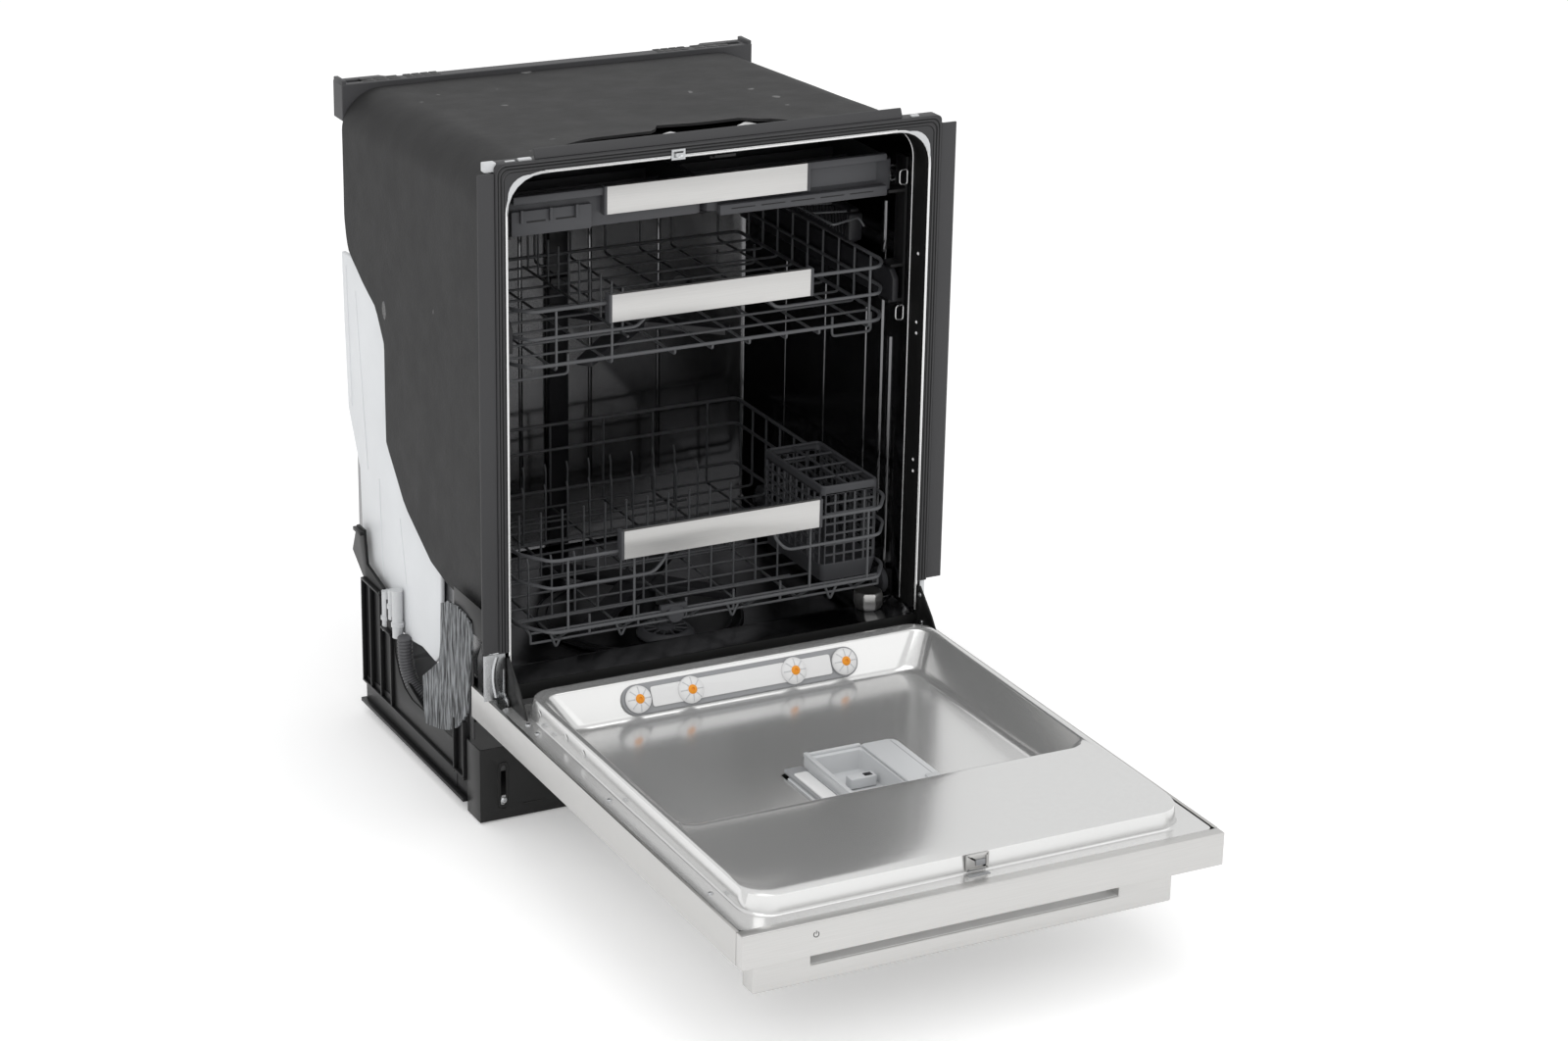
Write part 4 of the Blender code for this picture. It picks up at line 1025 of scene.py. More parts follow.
@dataclass
class Base:
    """The base tray, its ribs, the toe-kick plate and the feet."""

    def build(self) -> None:
        """Builds the tray's outer ribs and flanges, the plate and the feet."""
        dress(refined("base_tray", 0.0008), "base_shell", "cabinet", Finishes.BLACK, ["base_tray"])
        ribs = []
        for side in (-1, 1):
            def bar(y0: float, y1: float, z0: float, z1: float, out: float = 0.006) -> Piece:
                """A rib on the outside of a side frame."""
                x0, x1 = side * 0.2968, side * (0.2968 + out)
                return block(Site.at(x0, y0, z0), Site.at(x1, y1, z1), 0.0006)
            ribs += [bar(0.0880, 0.4345, 0.0125, 0.0175, 0.008), bar(0.0900, 0.4330, 0.0420, 0.0450)]
            ribs += [bar(y, y + 0.0030, 0.0450, z) for y, z in ((0.3300, 0.1440), (0.3655, 0.1900),
                                                              (0.4290, 0.1840))]
            ribs += [bar(0.3655, 0.4320, 0.1840, 0.1870), bar(0.3300, 0.3655, 0.1410, 0.1440)]
            ribs += [bar(0.0905, 0.0935, 0.0400, 0.1180), bar(0.1210, 0.1240, 0.0400, 0.1120)]
            ribs.append(bar(0.0660, 0.0790, 0.1040, 0.2620, 0.0012))
            ribs.append(bar(0.0300, 0.1250, 0.2440, 0.2850, 0.0012))
            ribs.append(bar(0.4000, 0.4030, 0.0450, 0.1840))
            ribs.append(bar(0.4300, 0.4560, 0.2440, 0.2490))
            skirt = [(y + Site.front, z) for y, z in (
                (0.4300, 0.0150), (0.4300, 0.0500), (0.3340, 0.0560), (0.3300, 0.1440),
                (0.3260, 0.1210), (0.3120, 0.0980), (0.2950, 0.0840), (0.2700, 0.0770),
                (0.1360, 0.0790), (0.1260, 0.0860), (0.1220, 0.0860), (0.1220, 0.0150))]
            ribs.append(plate(skirt, Axis.X, *sorted((side * 0.2950, side * 0.2985)), 0.0006))
        dress(joined(ribs), "base_ribs", "cabinet", Finishes.BLACK)
        self.toe_kick()
        for name in ("foot_front_left", "foot_front_right", "foot_rear_left", "foot_rear_right"):
            dress(refined(name, 0.0006), f"{name}_pad", name, Finishes.BLACK, [name])

    def toe_kick(self) -> None:
        """The toe-kick plate with its slot rims, screws and pressed lines."""
        dress(refined("toe_kick_plate", 0.0007), "toe_kick", "cabinet", Finishes.BLACK_PAINT,
              ["toe_kick_plate"])
        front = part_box("toe_kick_plate")[0].y
        rims, heads = [], []
        for side in (-1, 1):
            x = side * 0.269
            outline = rounded(x - 0.0065, x + 0.0065, 0.0155, 0.0775, 0.0064)
            rims.append(wires([[Vector((a, front, b)) for a, b in outline]], 0.0008, 0.001,
                              loop=True))
            heads.append(screw(Vector((x, front - 0.0006, 0.0270)), Axis.Y, -1, 0.0042))
            run = [Vector((side * 0.243, front, 0.0180)), Vector((side * 0.218, front, 0.0180))]
            rims.append(wires([run], 0.0009, 0.001))
        dress(joined(rims), "toe_kick_pressings", "cabinet", Finishes.BLACK_PAINT)
        dress(joined(heads), "toe_kick_screws", "cabinet", Finishes.ZINC)


@dataclass
class Hinges:
    """The fixed hinge brackets and the arms that ride on the door."""

    def build(self) -> None:
        """Builds both brackets with their pressed ridges, and the arms with their rivets."""
        ridges, rivets = [], []
        for side, name in ((-1, "left"), (1, "right")):
            node = f"hinge_bracket_{name}"
            dress(refined(node, 0.0005), f"{node}_plate", "cabinet", Finishes.ZINC, [node])
            face = side * 0.2862
            run = [Site.at(face, y, z) for y, z in ((0.0420, 0.2360), (0.0320, 0.2180),
                                                    (0.0240, 0.1980), (0.0220, 0.1820))]
            ridges.append(wires([run], 0.0026, 0.012, sides=4))
            reach = 0.3110 if side < 0 else 0.2900
            ridges.append(block(Site.at(side * 0.2835, 0.0012, 0.1820),
                                Site.at(side * reach, 0.0028, 0.2410), 0.0004))
            if side < 0:
                run = [Site.at(side * x, 0.0020, z) for x, z in (
                    (0.2950, 0.1860), (0.2990, 0.2060), (0.2985, 0.2230), (0.2945, 0.2380))]
                ridges.append(wires([run], 0.0028, 0.012, sides=4))
            for y, z in ((0.0120, 0.2250), (0.0500, 0.1900), (0.0100, 0.1900)):
                place = Site.at(face, y, z)
                rivets.append(screw(place, Axis.X, side, 0.0030))
        dress(joined(ridges), "hinge_ridges", "cabinet", Finishes.ZINC)
        dress(joined(rivets), "hinge_rivets", "cabinet", Finishes.ZINC)
        arms = [refined("hinge_arms", 0.0004)]
        pins = []
        gusset = [(y + Site.front, z) for y, z in (
            (0.0100, 0.1700), (0.0120, 0.2260), (0.0060, 0.2340), (-0.0050, 0.2360),
            (-0.0360, 0.2060), (-0.0500, 0.1880), (-0.0590, 0.1760), (-0.0590, 0.1700))]
        for side in (-1, 1):
            arms.append(plate(gusset, Axis.X, *sorted((side * 0.2797, side * 0.2820)), 0.0005))
            for y, z in ((-0.0130, 0.1900), (-0.0070, 0.2250)):
                pins.append(screw(Site.at(side * 0.2797, y, z), Axis.X, -side, 0.0034))
        dress(joined(arms), "hinge_arm_pair", "door", Finishes.BLACK_PAINT, ["hinge_arms"])
        dress(joined(pins), "hinge_pins", "door", Finishes.ZINC)


# Door -----------------------------------------------------------------------------------------
@dataclass
class DoorLiner:
    """The bright pressed liner: flange, skirt, platform and recessed basin.

    Each key ring is (half width, near depth, far depth, height, corner radius, rounding).
    """

    keys: tuple[tuple[float, ...], ...] = (
        (0.2960, -0.6530, -0.0120, 0.1757, 0.0080, 0.000),
        (0.2738, -0.6355, -0.0240, 0.1757, 0.0340, 0.003),
        (0.2710, -0.6320, -0.0300, 0.2015, 0.0320, 0.004),
        (0.2630, -0.4420, -0.0510, 0.2015, 0.0220, 0.003),
        (0.2360, -0.4320, -0.0740, 0.1570, 0.0300, 0.009))
    sheet: float = 0.0010

    def rings(self) -> list[list[Vector]]:
        """The rings, with a soft fold at each key ring."""
        keys = [k[:5] for k in self.keys]
        folds = [k[5] for k in self.keys]
        course = [keys[0]]
        for before, here, after, fold in zip(keys, keys[1:], keys[2:] + [None], folds[1:]):
            if after is None:
                after = (here[0] - 0.05, here[1] + 0.05, here[2] - 0.05, here[3], here[4])
            reach_in = fold / max(self.span(before, here), 1e-6)
            reach_out = fold / max(self.span(here, after), 1e-6)
            start = self.mix(here, before, min(0.45, reach_in))
            end = self.mix(here, after, min(0.45, reach_out))
            for t in (0.0, 0.2, 0.4, 0.6, 0.8, 1.0):
                course.append(self.mix(self.mix(start, here, t), self.mix(here, end, t), t))
        made = []
        for half, near, far, height, radius in course:
            flat = rounded(-half, half, near, far, radius, 12)
            made.append([Site.at(a, b, height) for a, b in flat])
        return made

    @staticmethod
    def span(a: Sequence[float], b: Sequence[float]) -> float:
        """The distance between two key rings at the side."""
        return math.hypot(a[0] - b[0], a[3] - b[3])

    @staticmethod
    def mix(a: Sequence[float], b: Sequence[float], t: float) -> tuple[float, ...]:
        """A ring part of the way between two others."""
        return tuple(p + (q - p) * t for p, q in zip(a, b))

    def build(self) -> None:
        """Builds the pressed sheet, its screws and its pressed marks."""
        rings = self.rings()
        skin = lofted(rings, capped=False)
        with editing(skin, edges=lambda a, b: all(abs(p.z - rings[-1][0].z) < 1e-6
                                                  for p in (a, b))):
            bpy.ops.mesh.edge_face_add()
        with editing(skin):
            bpy.ops.mesh.normals_make_consistent(inside=False)
        if max(skin.data.polygons, key=lambda f: f.area).normal.z < 0:
            with editing(skin):
                bpy.ops.mesh.flip_normals()
        apply_modifier(skin, "SOLIDIFY", thickness=self.sheet, offset=-1.0)
        well = plate([(a, b + Site.front) for a, b in rounded(-0.0590, 0.0910, -0.4260, -0.2830,
                                                             0.006)], Axis.Z, 0.150, 0.1630, 0.0)
        cut = skin.modifiers.new("well", "BOOLEAN")
        cut.object = well
        cut.operation = "DIFFERENCE"
        cut.solver = "EXACT"
        activate(skin)
        bpy.ops.object.modifier_apply(modifier=cut.name)
        bpy.data.objects.remove(well)
        dress(smooth(skin, 40.0), "liner_pressing", "door", Finishes.LINER, ["door_liner"])
        self.marks()

    def marks(self) -> None:
        """Screws on the flange, round pressed marks on the skirt and slots on the right."""
        heads, rounds, slots = [], [], []
        for y in (-0.0700, -0.0980, -0.3000, -0.5600):
            for side in (-1, 1):
                heads.append(screw(Site.at(side * 0.2850, y, 0.1758), Axis.Z, 1, 0.0034))
        for y in (-0.0740, -0.1510, -0.2000):
            for side in (-1, 1):
                place = Site.at(side * 0.2727, y, 0.1880)
                rounds.append(turned([(0, place.x), (0.0062, place.x), (0.0050, place.x + side * 0.0005),
                                      (0.0030, place.x + side * 0.0001), (0, place.x + side * 0.0001)],
                                     (place.y, place.z), Axis.X, 20))
        for y in (-0.18, -0.26, -0.34, -0.42, -0.50):
            low, high = Site.at(0.2815, y, 0.1756), Site.at(0.2835, y + 0.012, 0.1762)
            slots.append(block(low, high, 0.0004))
        dress(joined(heads), "flange_screws", "door", Finishes.ZINC)
        dress(joined(rounds), "skirt_pressings", "door", Finishes.LINER)
        dress(joined(slots), "flange_slots", "door", Finishes.BLACK)


@dataclass
class DoorFront:
    """The outer panel, the control strip, the handle and the latch."""

    def build(self) -> None:
        """Builds the outer pieces of the door."""
        dress(refined("door_outer_panel", 0.00035), "outer_panel", "door", Finishes.SATIN,
              ["door_outer_panel"])
        dress(refined("control_strip", 0.0012, 3), "control_face", "door", Finishes.SATIN_HANDLE,
              ["control_strip"])
        dress(refined("door_handle", 0.0022, 3), "bar_handle", "door", Finishes.SATIN_HANDLE,
              ["door_handle"])
        low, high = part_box("door_handle")
        # Painted light: this pale strip along the bar's top stands in for the bright gap between bar and
        # door, not a real lip.
        lip = block((low.x + 0.0700, low.y + 0.0020, low.z + 0.0200),
                    (high.x - 0.0700, high.y - 0.0020, low.z + 0.0212), 0.0004)
        dress(lip, "handle_gap_painted_light", "door", Finishes.PALE)
        self.power_mark()
        self.latch()

    def power_mark(self) -> None:
        """A plain ring with a stroke, the usual mark of an on switch."""
        low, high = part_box("control_strip")
        place = Vector((low.x + 0.0880, low.y - 0.00005, (low.z + high.z) / 2 + 0.0050))
        ring = [place + Vector((0.0032 * math.sin(a), 0, 0.0032 * math.cos(a)))
                for a in (math.radians(35 + 290 * k / 16) for k in range(17))]
        stroke = [place + Vector((0, 0, 0.0008)), place + Vector((0, 0, 0.0042))]
        dress(wires([ring, stroke], 0.00045, 0.0005), "power_mark", "door", Finishes.BLACK)

    def latch(self) -> None:
        """The latch receiver: a framed pocket on the skirt and a slot below it."""
        low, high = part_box("latch_receiver")
        face = low.y
        body = plate(rounded(low.x, high.x, low.z, high.z, 0.0015, 3), Axis.Y, face, high.y, 0.0004)
        with editing(body, lambda f: f.normal.y < -0.9 and f.area > 0.0003):
            bpy.ops.mesh.inset(thickness=0.0030)
            bpy.ops.mesh.extrude_region_move(TRANSFORM_OT_translate={"value": (0, 0.0018, 0)})
        dress(smooth(body), "latch_frame", "door", Finishes.SATIN, ["latch_receiver"])
        hook = block((low.x + 0.012, face + 0.0002, low.z + 0.0055),
                     (high.x - 0.004, face + 0.0020, high.z - 0.0080), 0.0003)
        slot = block((low.x + 0.001, face - 0.0062, 0.1756), (high.x - 0.001, face - 0.0012, 0.1766),
                     0.0004)
        dress(joined([hook, slot]), "latch_recess", "door", Finishes.MID)


@dataclass
class NozzlePlate:
    """The wash nozzles on the hinge side of the basin."""

    centre: tuple[float, float, float] = (0.0, -0.0625, 0.17925)
    rise: tuple[float, float] = (0.0230, 0.0445)
    places: tuple[float, ...] = (-0.140, -0.070, 0.070, 0.140)

    def stand(self) -> Matrix:
        """The plate's own axes: X along it, Y up the wall, Z out of the wall."""
        up = Vector((0, *self.rise)).normalized()
        out = Vector((0, -up.z, up.y))
        turn = Matrix((Vector((1, 0, 0)), up, out)).transposed().to_4x4()
        return Matrix.Translation(Site.at(*self.centre)) @ turn

    def set_up(self, piece: Piece) -> Piece:
        """Puts a piece modelled flat into the plate's axes."""
        piece.data.transform(self.stand())
        return piece

    def build(self) -> None:
        """Builds the grey plate, the raised pale strip, the domes and the nozzles."""
        back = plate(rounded(-0.160, 0.160, -0.0185, 0.0185, 0.0184, 10), Axis.Z, 0.0004, 0.0040,
                     0.0012, 3)
        dress(self.set_up(back), "nozzle_back", "door", Finishes.MID, ["nozzle_bar"])
        strip = plate(rounded(-0.122, 0.122, -0.0124, 0.0124, 0.0030, 4), Axis.Z, 0.0040, 0.0058,
                      0.0010, 3)
        dress(self.set_up(strip), "nozzle_strip", "door", Finishes.PALE)
        rings, domes, cores, stars = [], [], [], []
        for x in self.places:
            rings.append(turned([(0, 0.0040), (0.0172, 0.0040), (0.0172, 0.0056), (0.0160, 0.0064),
                                 (0.0148, 0.0058), (0, 0.0058)], (x, 0), Axis.Z, 32))
            domes.append(turned([(0, 0.0050), (0.0170, 0.0050), (0.0164, 0.0078), (0.0138, 0.0102),
                                 (0.0085, 0.0118), (0, 0.0122)], (x, 0), Axis.Z, 32))
            cores.append(turned([(0, 0.0060), (0.0056, 0.0060), (0.0058, 0.0122), (0.0044, 0.0134),
                                 (0.0022, 0.0137), (0.0018, 0.0124), (0, 0.0124)], (x, 0),
                                Axis.Z, 20))
            for k in range(8):
                turn = 2 * math.pi * k / 8
                start = Vector((x + 0.0065 * math.cos(turn), 0.0065 * math.sin(turn), 0.0119))
                end = Vector((x + 0.0148 * math.cos(turn), 0.0148 * math.sin(turn), 0.0094))
                stars.append(wires([[start, end]], 0.0009, 0.001))
        dress(self.set_up(joined(rings)), "nozzle_rings", "door", Finishes.MID)
        dress(self.set_up(joined(domes)), "nozzle_domes", "door", Finishes.PALE)
        dress(self.set_up(joined(cores)), "nozzle_cores", "door", Finishes.ORANGE)
        dress(self.set_up(joined(stars)), "nozzle_veins", "door", Finishes.LIGHT)


@dataclass
class Dispenser:
    """The detergent dispenser with its open compartment, lid, catch and level lens."""

    def build(self) -> None:
        """Builds each piece of the dispenser."""
        dress(refined("dispenser_body", 0.0010, 3), "dispenser_case", "door", Finishes.LIGHT,
              ["dispenser_body"])
        deck = plate([(a, b + Site.front) for a, b in rounded(-0.0560, -0.0310, -0.4240, -0.2850,
                                                             0.004)], Axis.Z, 0.1600, 0.1640, 0.001)
        fin = block(Site.at(-0.0300, -0.2896, 0.1750), Site.at(0.0440, -0.2845, 0.1790), 0.0012)
        step = block(Site.at(-0.0300, -0.4245, 0.1750), Site.at(0.0440, -0.4176, 0.1780), 0.0012)
        ramp = plate([(-0.4240 + Site.front, 0.1755), (-0.2850 + Site.front, 0.1755),
                      (-0.2850 + Site.front, 0.1800), (-0.4100 + Site.front, 0.1770)],
                     Axis.X, -0.0300, -0.0245, 0.0006)
        dress(joined([fin, step, ramp]), "dispenser_walls", "door", Finishes.LIGHT)
        dress(deck, "lens_frame", "door", Finishes.MID)
        lens = plate([(a, b + Site.front) for a, b in rounded(-0.0530, -0.0350, -0.4100, -0.3050,
                                                             0.003)], Axis.Z, 0.1638, 0.1662, 0.0008)
        dress(lens, "rinse_lens", "door", Finishes.PALE)
        dress(refined("dispenser_lid", 0.0010, 3), "lid_plate", "dispenser_lid", Finishes.LIGHT,
              ["dispenser_lid"])
        low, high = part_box("dispenser_lid")
        tab = block((high.x - 0.020, low.y - 0.0020, high.z - 0.0005),
                    (high.x - 0.002, low.y + 0.0180, high.z + 0.0022), 0.0012)
        groove = block((high.x - 0.0085, low.y + 0.022, high.z - 0.0004),
                       (high.x - 0.0076, high.y - 0.006, high.z + 0.0002), 0.0001)
        dress(tab, "lid_grip", "dispenser_lid", Finishes.LIGHT)
        dress(groove, "lid_groove", "dispenser_lid", Finishes.MID)
        dress(refined("dispenser_latch", 0.0012, 3), "catch_lever", "dispenser_latch",
              Finishes.LIGHT, ["dispenser_latch"])
        low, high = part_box("dispenser_latch")
        pocket = block((low.x + 0.020, low.y + 0.003, high.z - 0.0004),
                       (high.x - 0.004, high.y - 0.003, high.z + 0.0003), 0.0002)
        dress(pocket, "catch_pocket", "dispenser_latch", Finishes.CHARCOAL)


# Racks ----------------------------------------------------------------------------------------
@dataclass
class HandleStrip:
    """A satin steel strip with dark end caps, on the front of a rack."""

    node: str
    body: str
    cap: float = 0.0040

    def build(self) -> None:
        """Builds the strip, its return flange and its two end caps."""
        dress(refined(self.node, 0.0005), f"{self.node}_strip", self.body, Finishes.SATIN_HANDLE,
              [self.node])
        low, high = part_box(self.node)
        caps = []
        for x in (low.x, high.x):
            caps.append(block((x - self.cap / 2, low.y - 0.0006, low.z - 0.0006),
                              (x + self.cap / 2, high.y + 0.006, high.z + 0.0006), 0.0008))
        caps.append(block((low.x, high.y - 0.0040, low.z + 0.002), (high.x, high.y + 0.004, high.z - 0.004),
                          0.0008))
        dress(joined(caps), f"{self.node}_caps", self.body, Finishes.DARK_GREY)


@dataclass
class LowerRack:
    """The lower rack: round wires, tines, rollers, cutlery basket and trim clips."""

    half: float = 0.2495
    corner: float = 0.2220
    cut: float = 0.0400
    back: float = 0.4550
    thick: float = 0.0024
    thin: float = 0.0017
    top: float = 0.3480
    middle: float = 0.3130
    bottom: float = 0.2560
    base: float = 0.2330

    def rail(self, z: float) -> list[Vector]:
        """A rail right round the rack at one height."""
        return [Site.at(*p) for p in ((-self.half, self.back, z), (-self.half, self.cut, z),
                                      (-self.corner, 0, z), (self.corner, 0, z),
                                      (self.half, self.cut, z), (self.half, self.back, z))]

    def middle_rails(self) -> list[list[Vector]]:
        """The middle rail: it rises to the handle on each side of the front."""
        z, runs = self.middle, []
        for side, reach in ((-1, 0.088), (1, 0.092)):
            runs.append([Site.at(*p) for p in (
                (0, self.back, z), (side * self.half, self.back, z), (side * self.half, self.cut, z),
                (side * self.corner, 0, z), (side * reach, 0, z),
                (side * (reach - 0.016), 0, z + 0.018), (side * (reach - 0.017), 0.002, z + 0.030))])
        return runs

    def build(self) -> None:
        """Builds the wire basket and everything that it carries."""
        heavy = wires([self.rail(self.top), self.rail(self.bottom)], self.thick, 0.010, loop=True)
        rising = wires(self.middle_rails(), self.thick * 0.9, 0.010)
        across, along = [], []
        for y in (0.085, 0.125, 0.165, 0.205, 0.245, 0.285, 0.325, 0.365, 0.405, 0.440):
            across.append([Site.at(-self.half, y, self.top), Site.at(-self.half, y, self.base + 0.006),
                           Site.at(self.half, y, self.base + 0.006), Site.at(self.half, y, self.top)])
        for x in (-0.2016, -0.1143, -0.0245, 0.0522, 0.1250, 0.2060):
            low_front = abs(x) < 0.11
            start = [] if low_front else [Site.at(x, 0.0, self.top)]
            along.append(start + [Site.at(x, 0.0, self.bottom), Site.at(x, 0.034, self.base),
                                  Site.at(x, self.back, self.base), Site.at(x, self.back, self.top)])
        base_front = [[Site.at(-0.238, 0.030, z), Site.at(0.238, 0.030, z)] for z in (0.2470, 0.2340)]
        ends = [[Site.at(s * 0.238, 0.030, 0.2340), Site.at(s * 0.238, 0.030, 0.2470),
                 Site.at(s * 0.246, 0.038, 0.2560)] for s in (-1, 1)]
        stubs = [[Site.at(x, 0.030, 0.2340), Site.at(x, 0.030, 0.2600)]
                 for x in (-0.160, -0.095, -0.030, 0.035, 0.100)]
        feet = [[Site.at(x - 0.009, 0.029, 0.2470), Site.at(x, 0.029, 0.2240),
                 Site.at(x + 0.011, 0.029, 0.2470)] for x in (-0.2050, -0.1180, 0.0330, 0.1700)]
        light = wires(across + along + base_front + ends + stubs + feet, self.thin, 0.005)
        dress(joined([heavy, rising, light]), "lower_wire_basket", "lower_rack", Finishes.WIRE,
              ["lower_rack"])
        HandleStrip("lower_rack_handle", "lower_rack").build()
        self.tines()
        self.rollers()
        self.clip()

    def tines(self) -> None:
        """The folding row of tines, and the two fixed rows."""
        low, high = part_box("lower_tine_row")
        dress(self.row(low, high, 12), "folding_tines", "lower_tine_row", Finishes.WIRE,
              ["lower_tine_row"])
        fixed = []
        for y in (0.090, 0.320, 0.390):
            runs = [[Site.at(x, y, self.base + 0.004), Site.at(x, y, 0.310), Site.at(x, y + 0.004, 0.318)]
                    for x in (-0.2145 + 0.031 * k for k in range(12))]
            fixed.append(wires(runs, 0.0014, 0.004))
            fixed.append(wires([[Site.at(-0.235, y, self.base + 0.006),
                                 Site.at(0.145, y, self.base + 0.006)]], 0.0017, 0.004))
        dress(joined(fixed), "fixed_tines", "lower_rack", Finishes.WIRE)

    @staticmethod
    def row(low: Vector, high: Vector, count: int, along_y: bool = False) -> Piece:
        """A row of round tines on one bar, in the space of its CAD comb."""
        runs, middle = [], (low + high) / 2
        for k in range(count):
            share = (k + 0.5) / count
            if along_y:
                place = Vector((middle.x, low.y + (high.y - low.y) * share, low.z))
            else:
                place = Vector((low.x + (high.x - low.x) * share, middle.y, low.z))
            runs.append([place + Vector((0, 0, 0.0017)), Vector((place.x, place.y, high.z))])
        bar = [Vector((middle.x if along_y else low.x, low.y if along_y else middle.y, low.z + 0.0017)),
               Vector((middle.x if along_y else high.x, high.y if along_y else middle.y,
                       low.z + 0.0017))]
        return joined([wires(runs, 0.0015, 0.002, sides=3), wires([bar], 0.0017, 0.002)])

    def rollers(self) -> None:
        """The four rollers, each with a rim, a web and a hub."""
        for end in ("front", "rear"):
            for side in ("left", "right"):
                node = f"roller_{end}_{side}"
                low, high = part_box(node)
                sign = -1 if side == "left" else 1
                inner, outer = (low.x, high.x) if sign > 0 else (high.x, low.x)
                middle = ((low.y + high.y) / 2, (low.z + high.z) / 2)
                tyre = outer - sign * 0.0075
                wheel = turned([(0, inner), (0.0055, inner), (0.0060, tyre), (0.0160, tyre),
                                (0.0170, tyre + sign * 0.0008), (0.0170, outer - sign * 0.0008),
                                (0.0160, outer), (0.0125, outer), (0.0115, outer - sign * 0.0030),
                                (0.0060, outer - sign * 0.0030), (0.0052, outer), (0, outer)],
                               middle, Axis.X, 28)
                dress(wheel, f"{node}_wheel", node, Finishes.DARK_GREY, [node])

    def clip(self) -> None:
        """The moulded clip under the front of the rack."""
        body = turned([(0, 0.0245), (0.0105, 0.0245), (0.0115, 0.0260), (0.0115, 0.0320),
                       (0.0105, 0.0335), (0, 0.0335)], (-0.0453, 0.2420), Axis.Y, 24)
        body.data.transform(Matrix.Translation((0, Site.front, 0)))
        bar = block(Site.at(-0.066, 0.0260, 0.2480), Site.at(-0.030, 0.0320, 0.2550), 0.0010)
        dress(joined([body, bar]), "lower_rack_clip", "lower_rack", Finishes.DARK_GREY)


@dataclass
class CutleryBasket:
    """The moulded cutlery basket with its gridded walls."""

    wall: float = 0.0022
    rows: int = 7
    margin: float = 0.0110

    def build(self) -> None:
        """Builds the four gridded walls, the floor, the rim and the carrying bar."""
        low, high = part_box("cutlery_basket")
        walls = []
        for axis, a0, a1, place, cells in (
                (Axis.Y, low.x, high.x, low.y, 5), (Axis.Y, low.x, high.x, high.y - self.wall, 5),
                (Axis.X, low.y, high.y, low.x, 9), (Axis.X, low.y, high.y, high.x - self.wall, 9)):
            walls.append(self.grid(axis, a0, a1, low.z + 0.022, high.z - 0.010, place, cells))
        rim = wires([[Vector((x, y, high.z - 0.0022)) for x, y in rounded(
            low.x + 0.002, high.x - 0.002, low.y + 0.002, high.y - 0.002, 0.006)]], 0.0022, 0.001,
            loop=True)
        skirt = lofted([[Vector((x, y, z)) for x, y in rounded(low.x + g, high.x - g, low.y + g,
                                                               high.y - g, 0.006)]
                        for z, g in ((low.z, 0.004), (low.z + 0.024, 0.0), (low.z + 0.024, 0.0022),
                                     (low.z + 0.003, 0.006))])
        collar = lofted([[Vector((x, y, z)) for x, y in rounded(low.x + g, high.x - g, low.y + g,
                                                                high.y - g, 0.006)]
                         for z, g in ((high.z - 0.012, 0.0), (high.z - 0.002, 0.0),
                                      (high.z - 0.002, 0.0022), (high.z - 0.012, 0.0022))],
                        closed=True)
        dress(joined(walls + [rim, smooth(skirt), smooth(collar)]), "basket_grid", "cutlery_basket",
              Finishes.DARK_GREY, ["cutlery_basket"])
        middle = (low.x + high.x) / 2
        grid = [wires([[Vector((middle, y, high.z - 0.004)) for y in (low.y + 0.002, high.y - 0.002)]],
                      0.0018, 0.001)]
        for k in range(1, 4):
            y = low.y + (high.y - low.y) * k / 4
            grid.append(wires([[Vector((low.x + 0.002, y, high.z - 0.004)),
                                Vector((high.x - 0.002, y, high.z - 0.004))]], 0.0018, 0.001))
        dress(joined(grid), "basket_dividers", "cutlery_basket", Finishes.DARK_GREY)

    def grid(self, axis: Axis, a0: float, a1: float, z0: float, z1: float, place: float,
             cells: int) -> Piece:
        """One wall: a sheet cut into cells, each opened, then given its thickness."""
        clear_selection()
        bpy.ops.mesh.primitive_grid_add(x_subdivisions=cells, y_subdivisions=self.rows, size=1.0)
        sheet = bpy.context.object
        for vertex in sheet.data.vertices:
            a = a0 + self.margin * 0.5 + (a1 - a0 - self.margin) * (vertex.co.x + 0.5)
            z = z0 + (z1 - z0) * (vertex.co.y + 0.5)
            vertex.co = spread(axis, a, z, place + self.wall / 2)
        with editing(sheet):
            bpy.ops.mesh.inset(thickness=0.0013, use_individual=True)
            bpy.ops.mesh.delete(type="FACE")
        apply_modifier(sheet, "SOLIDIFY", thickness=self.wall, offset=0.0)
        return outward(sheet)


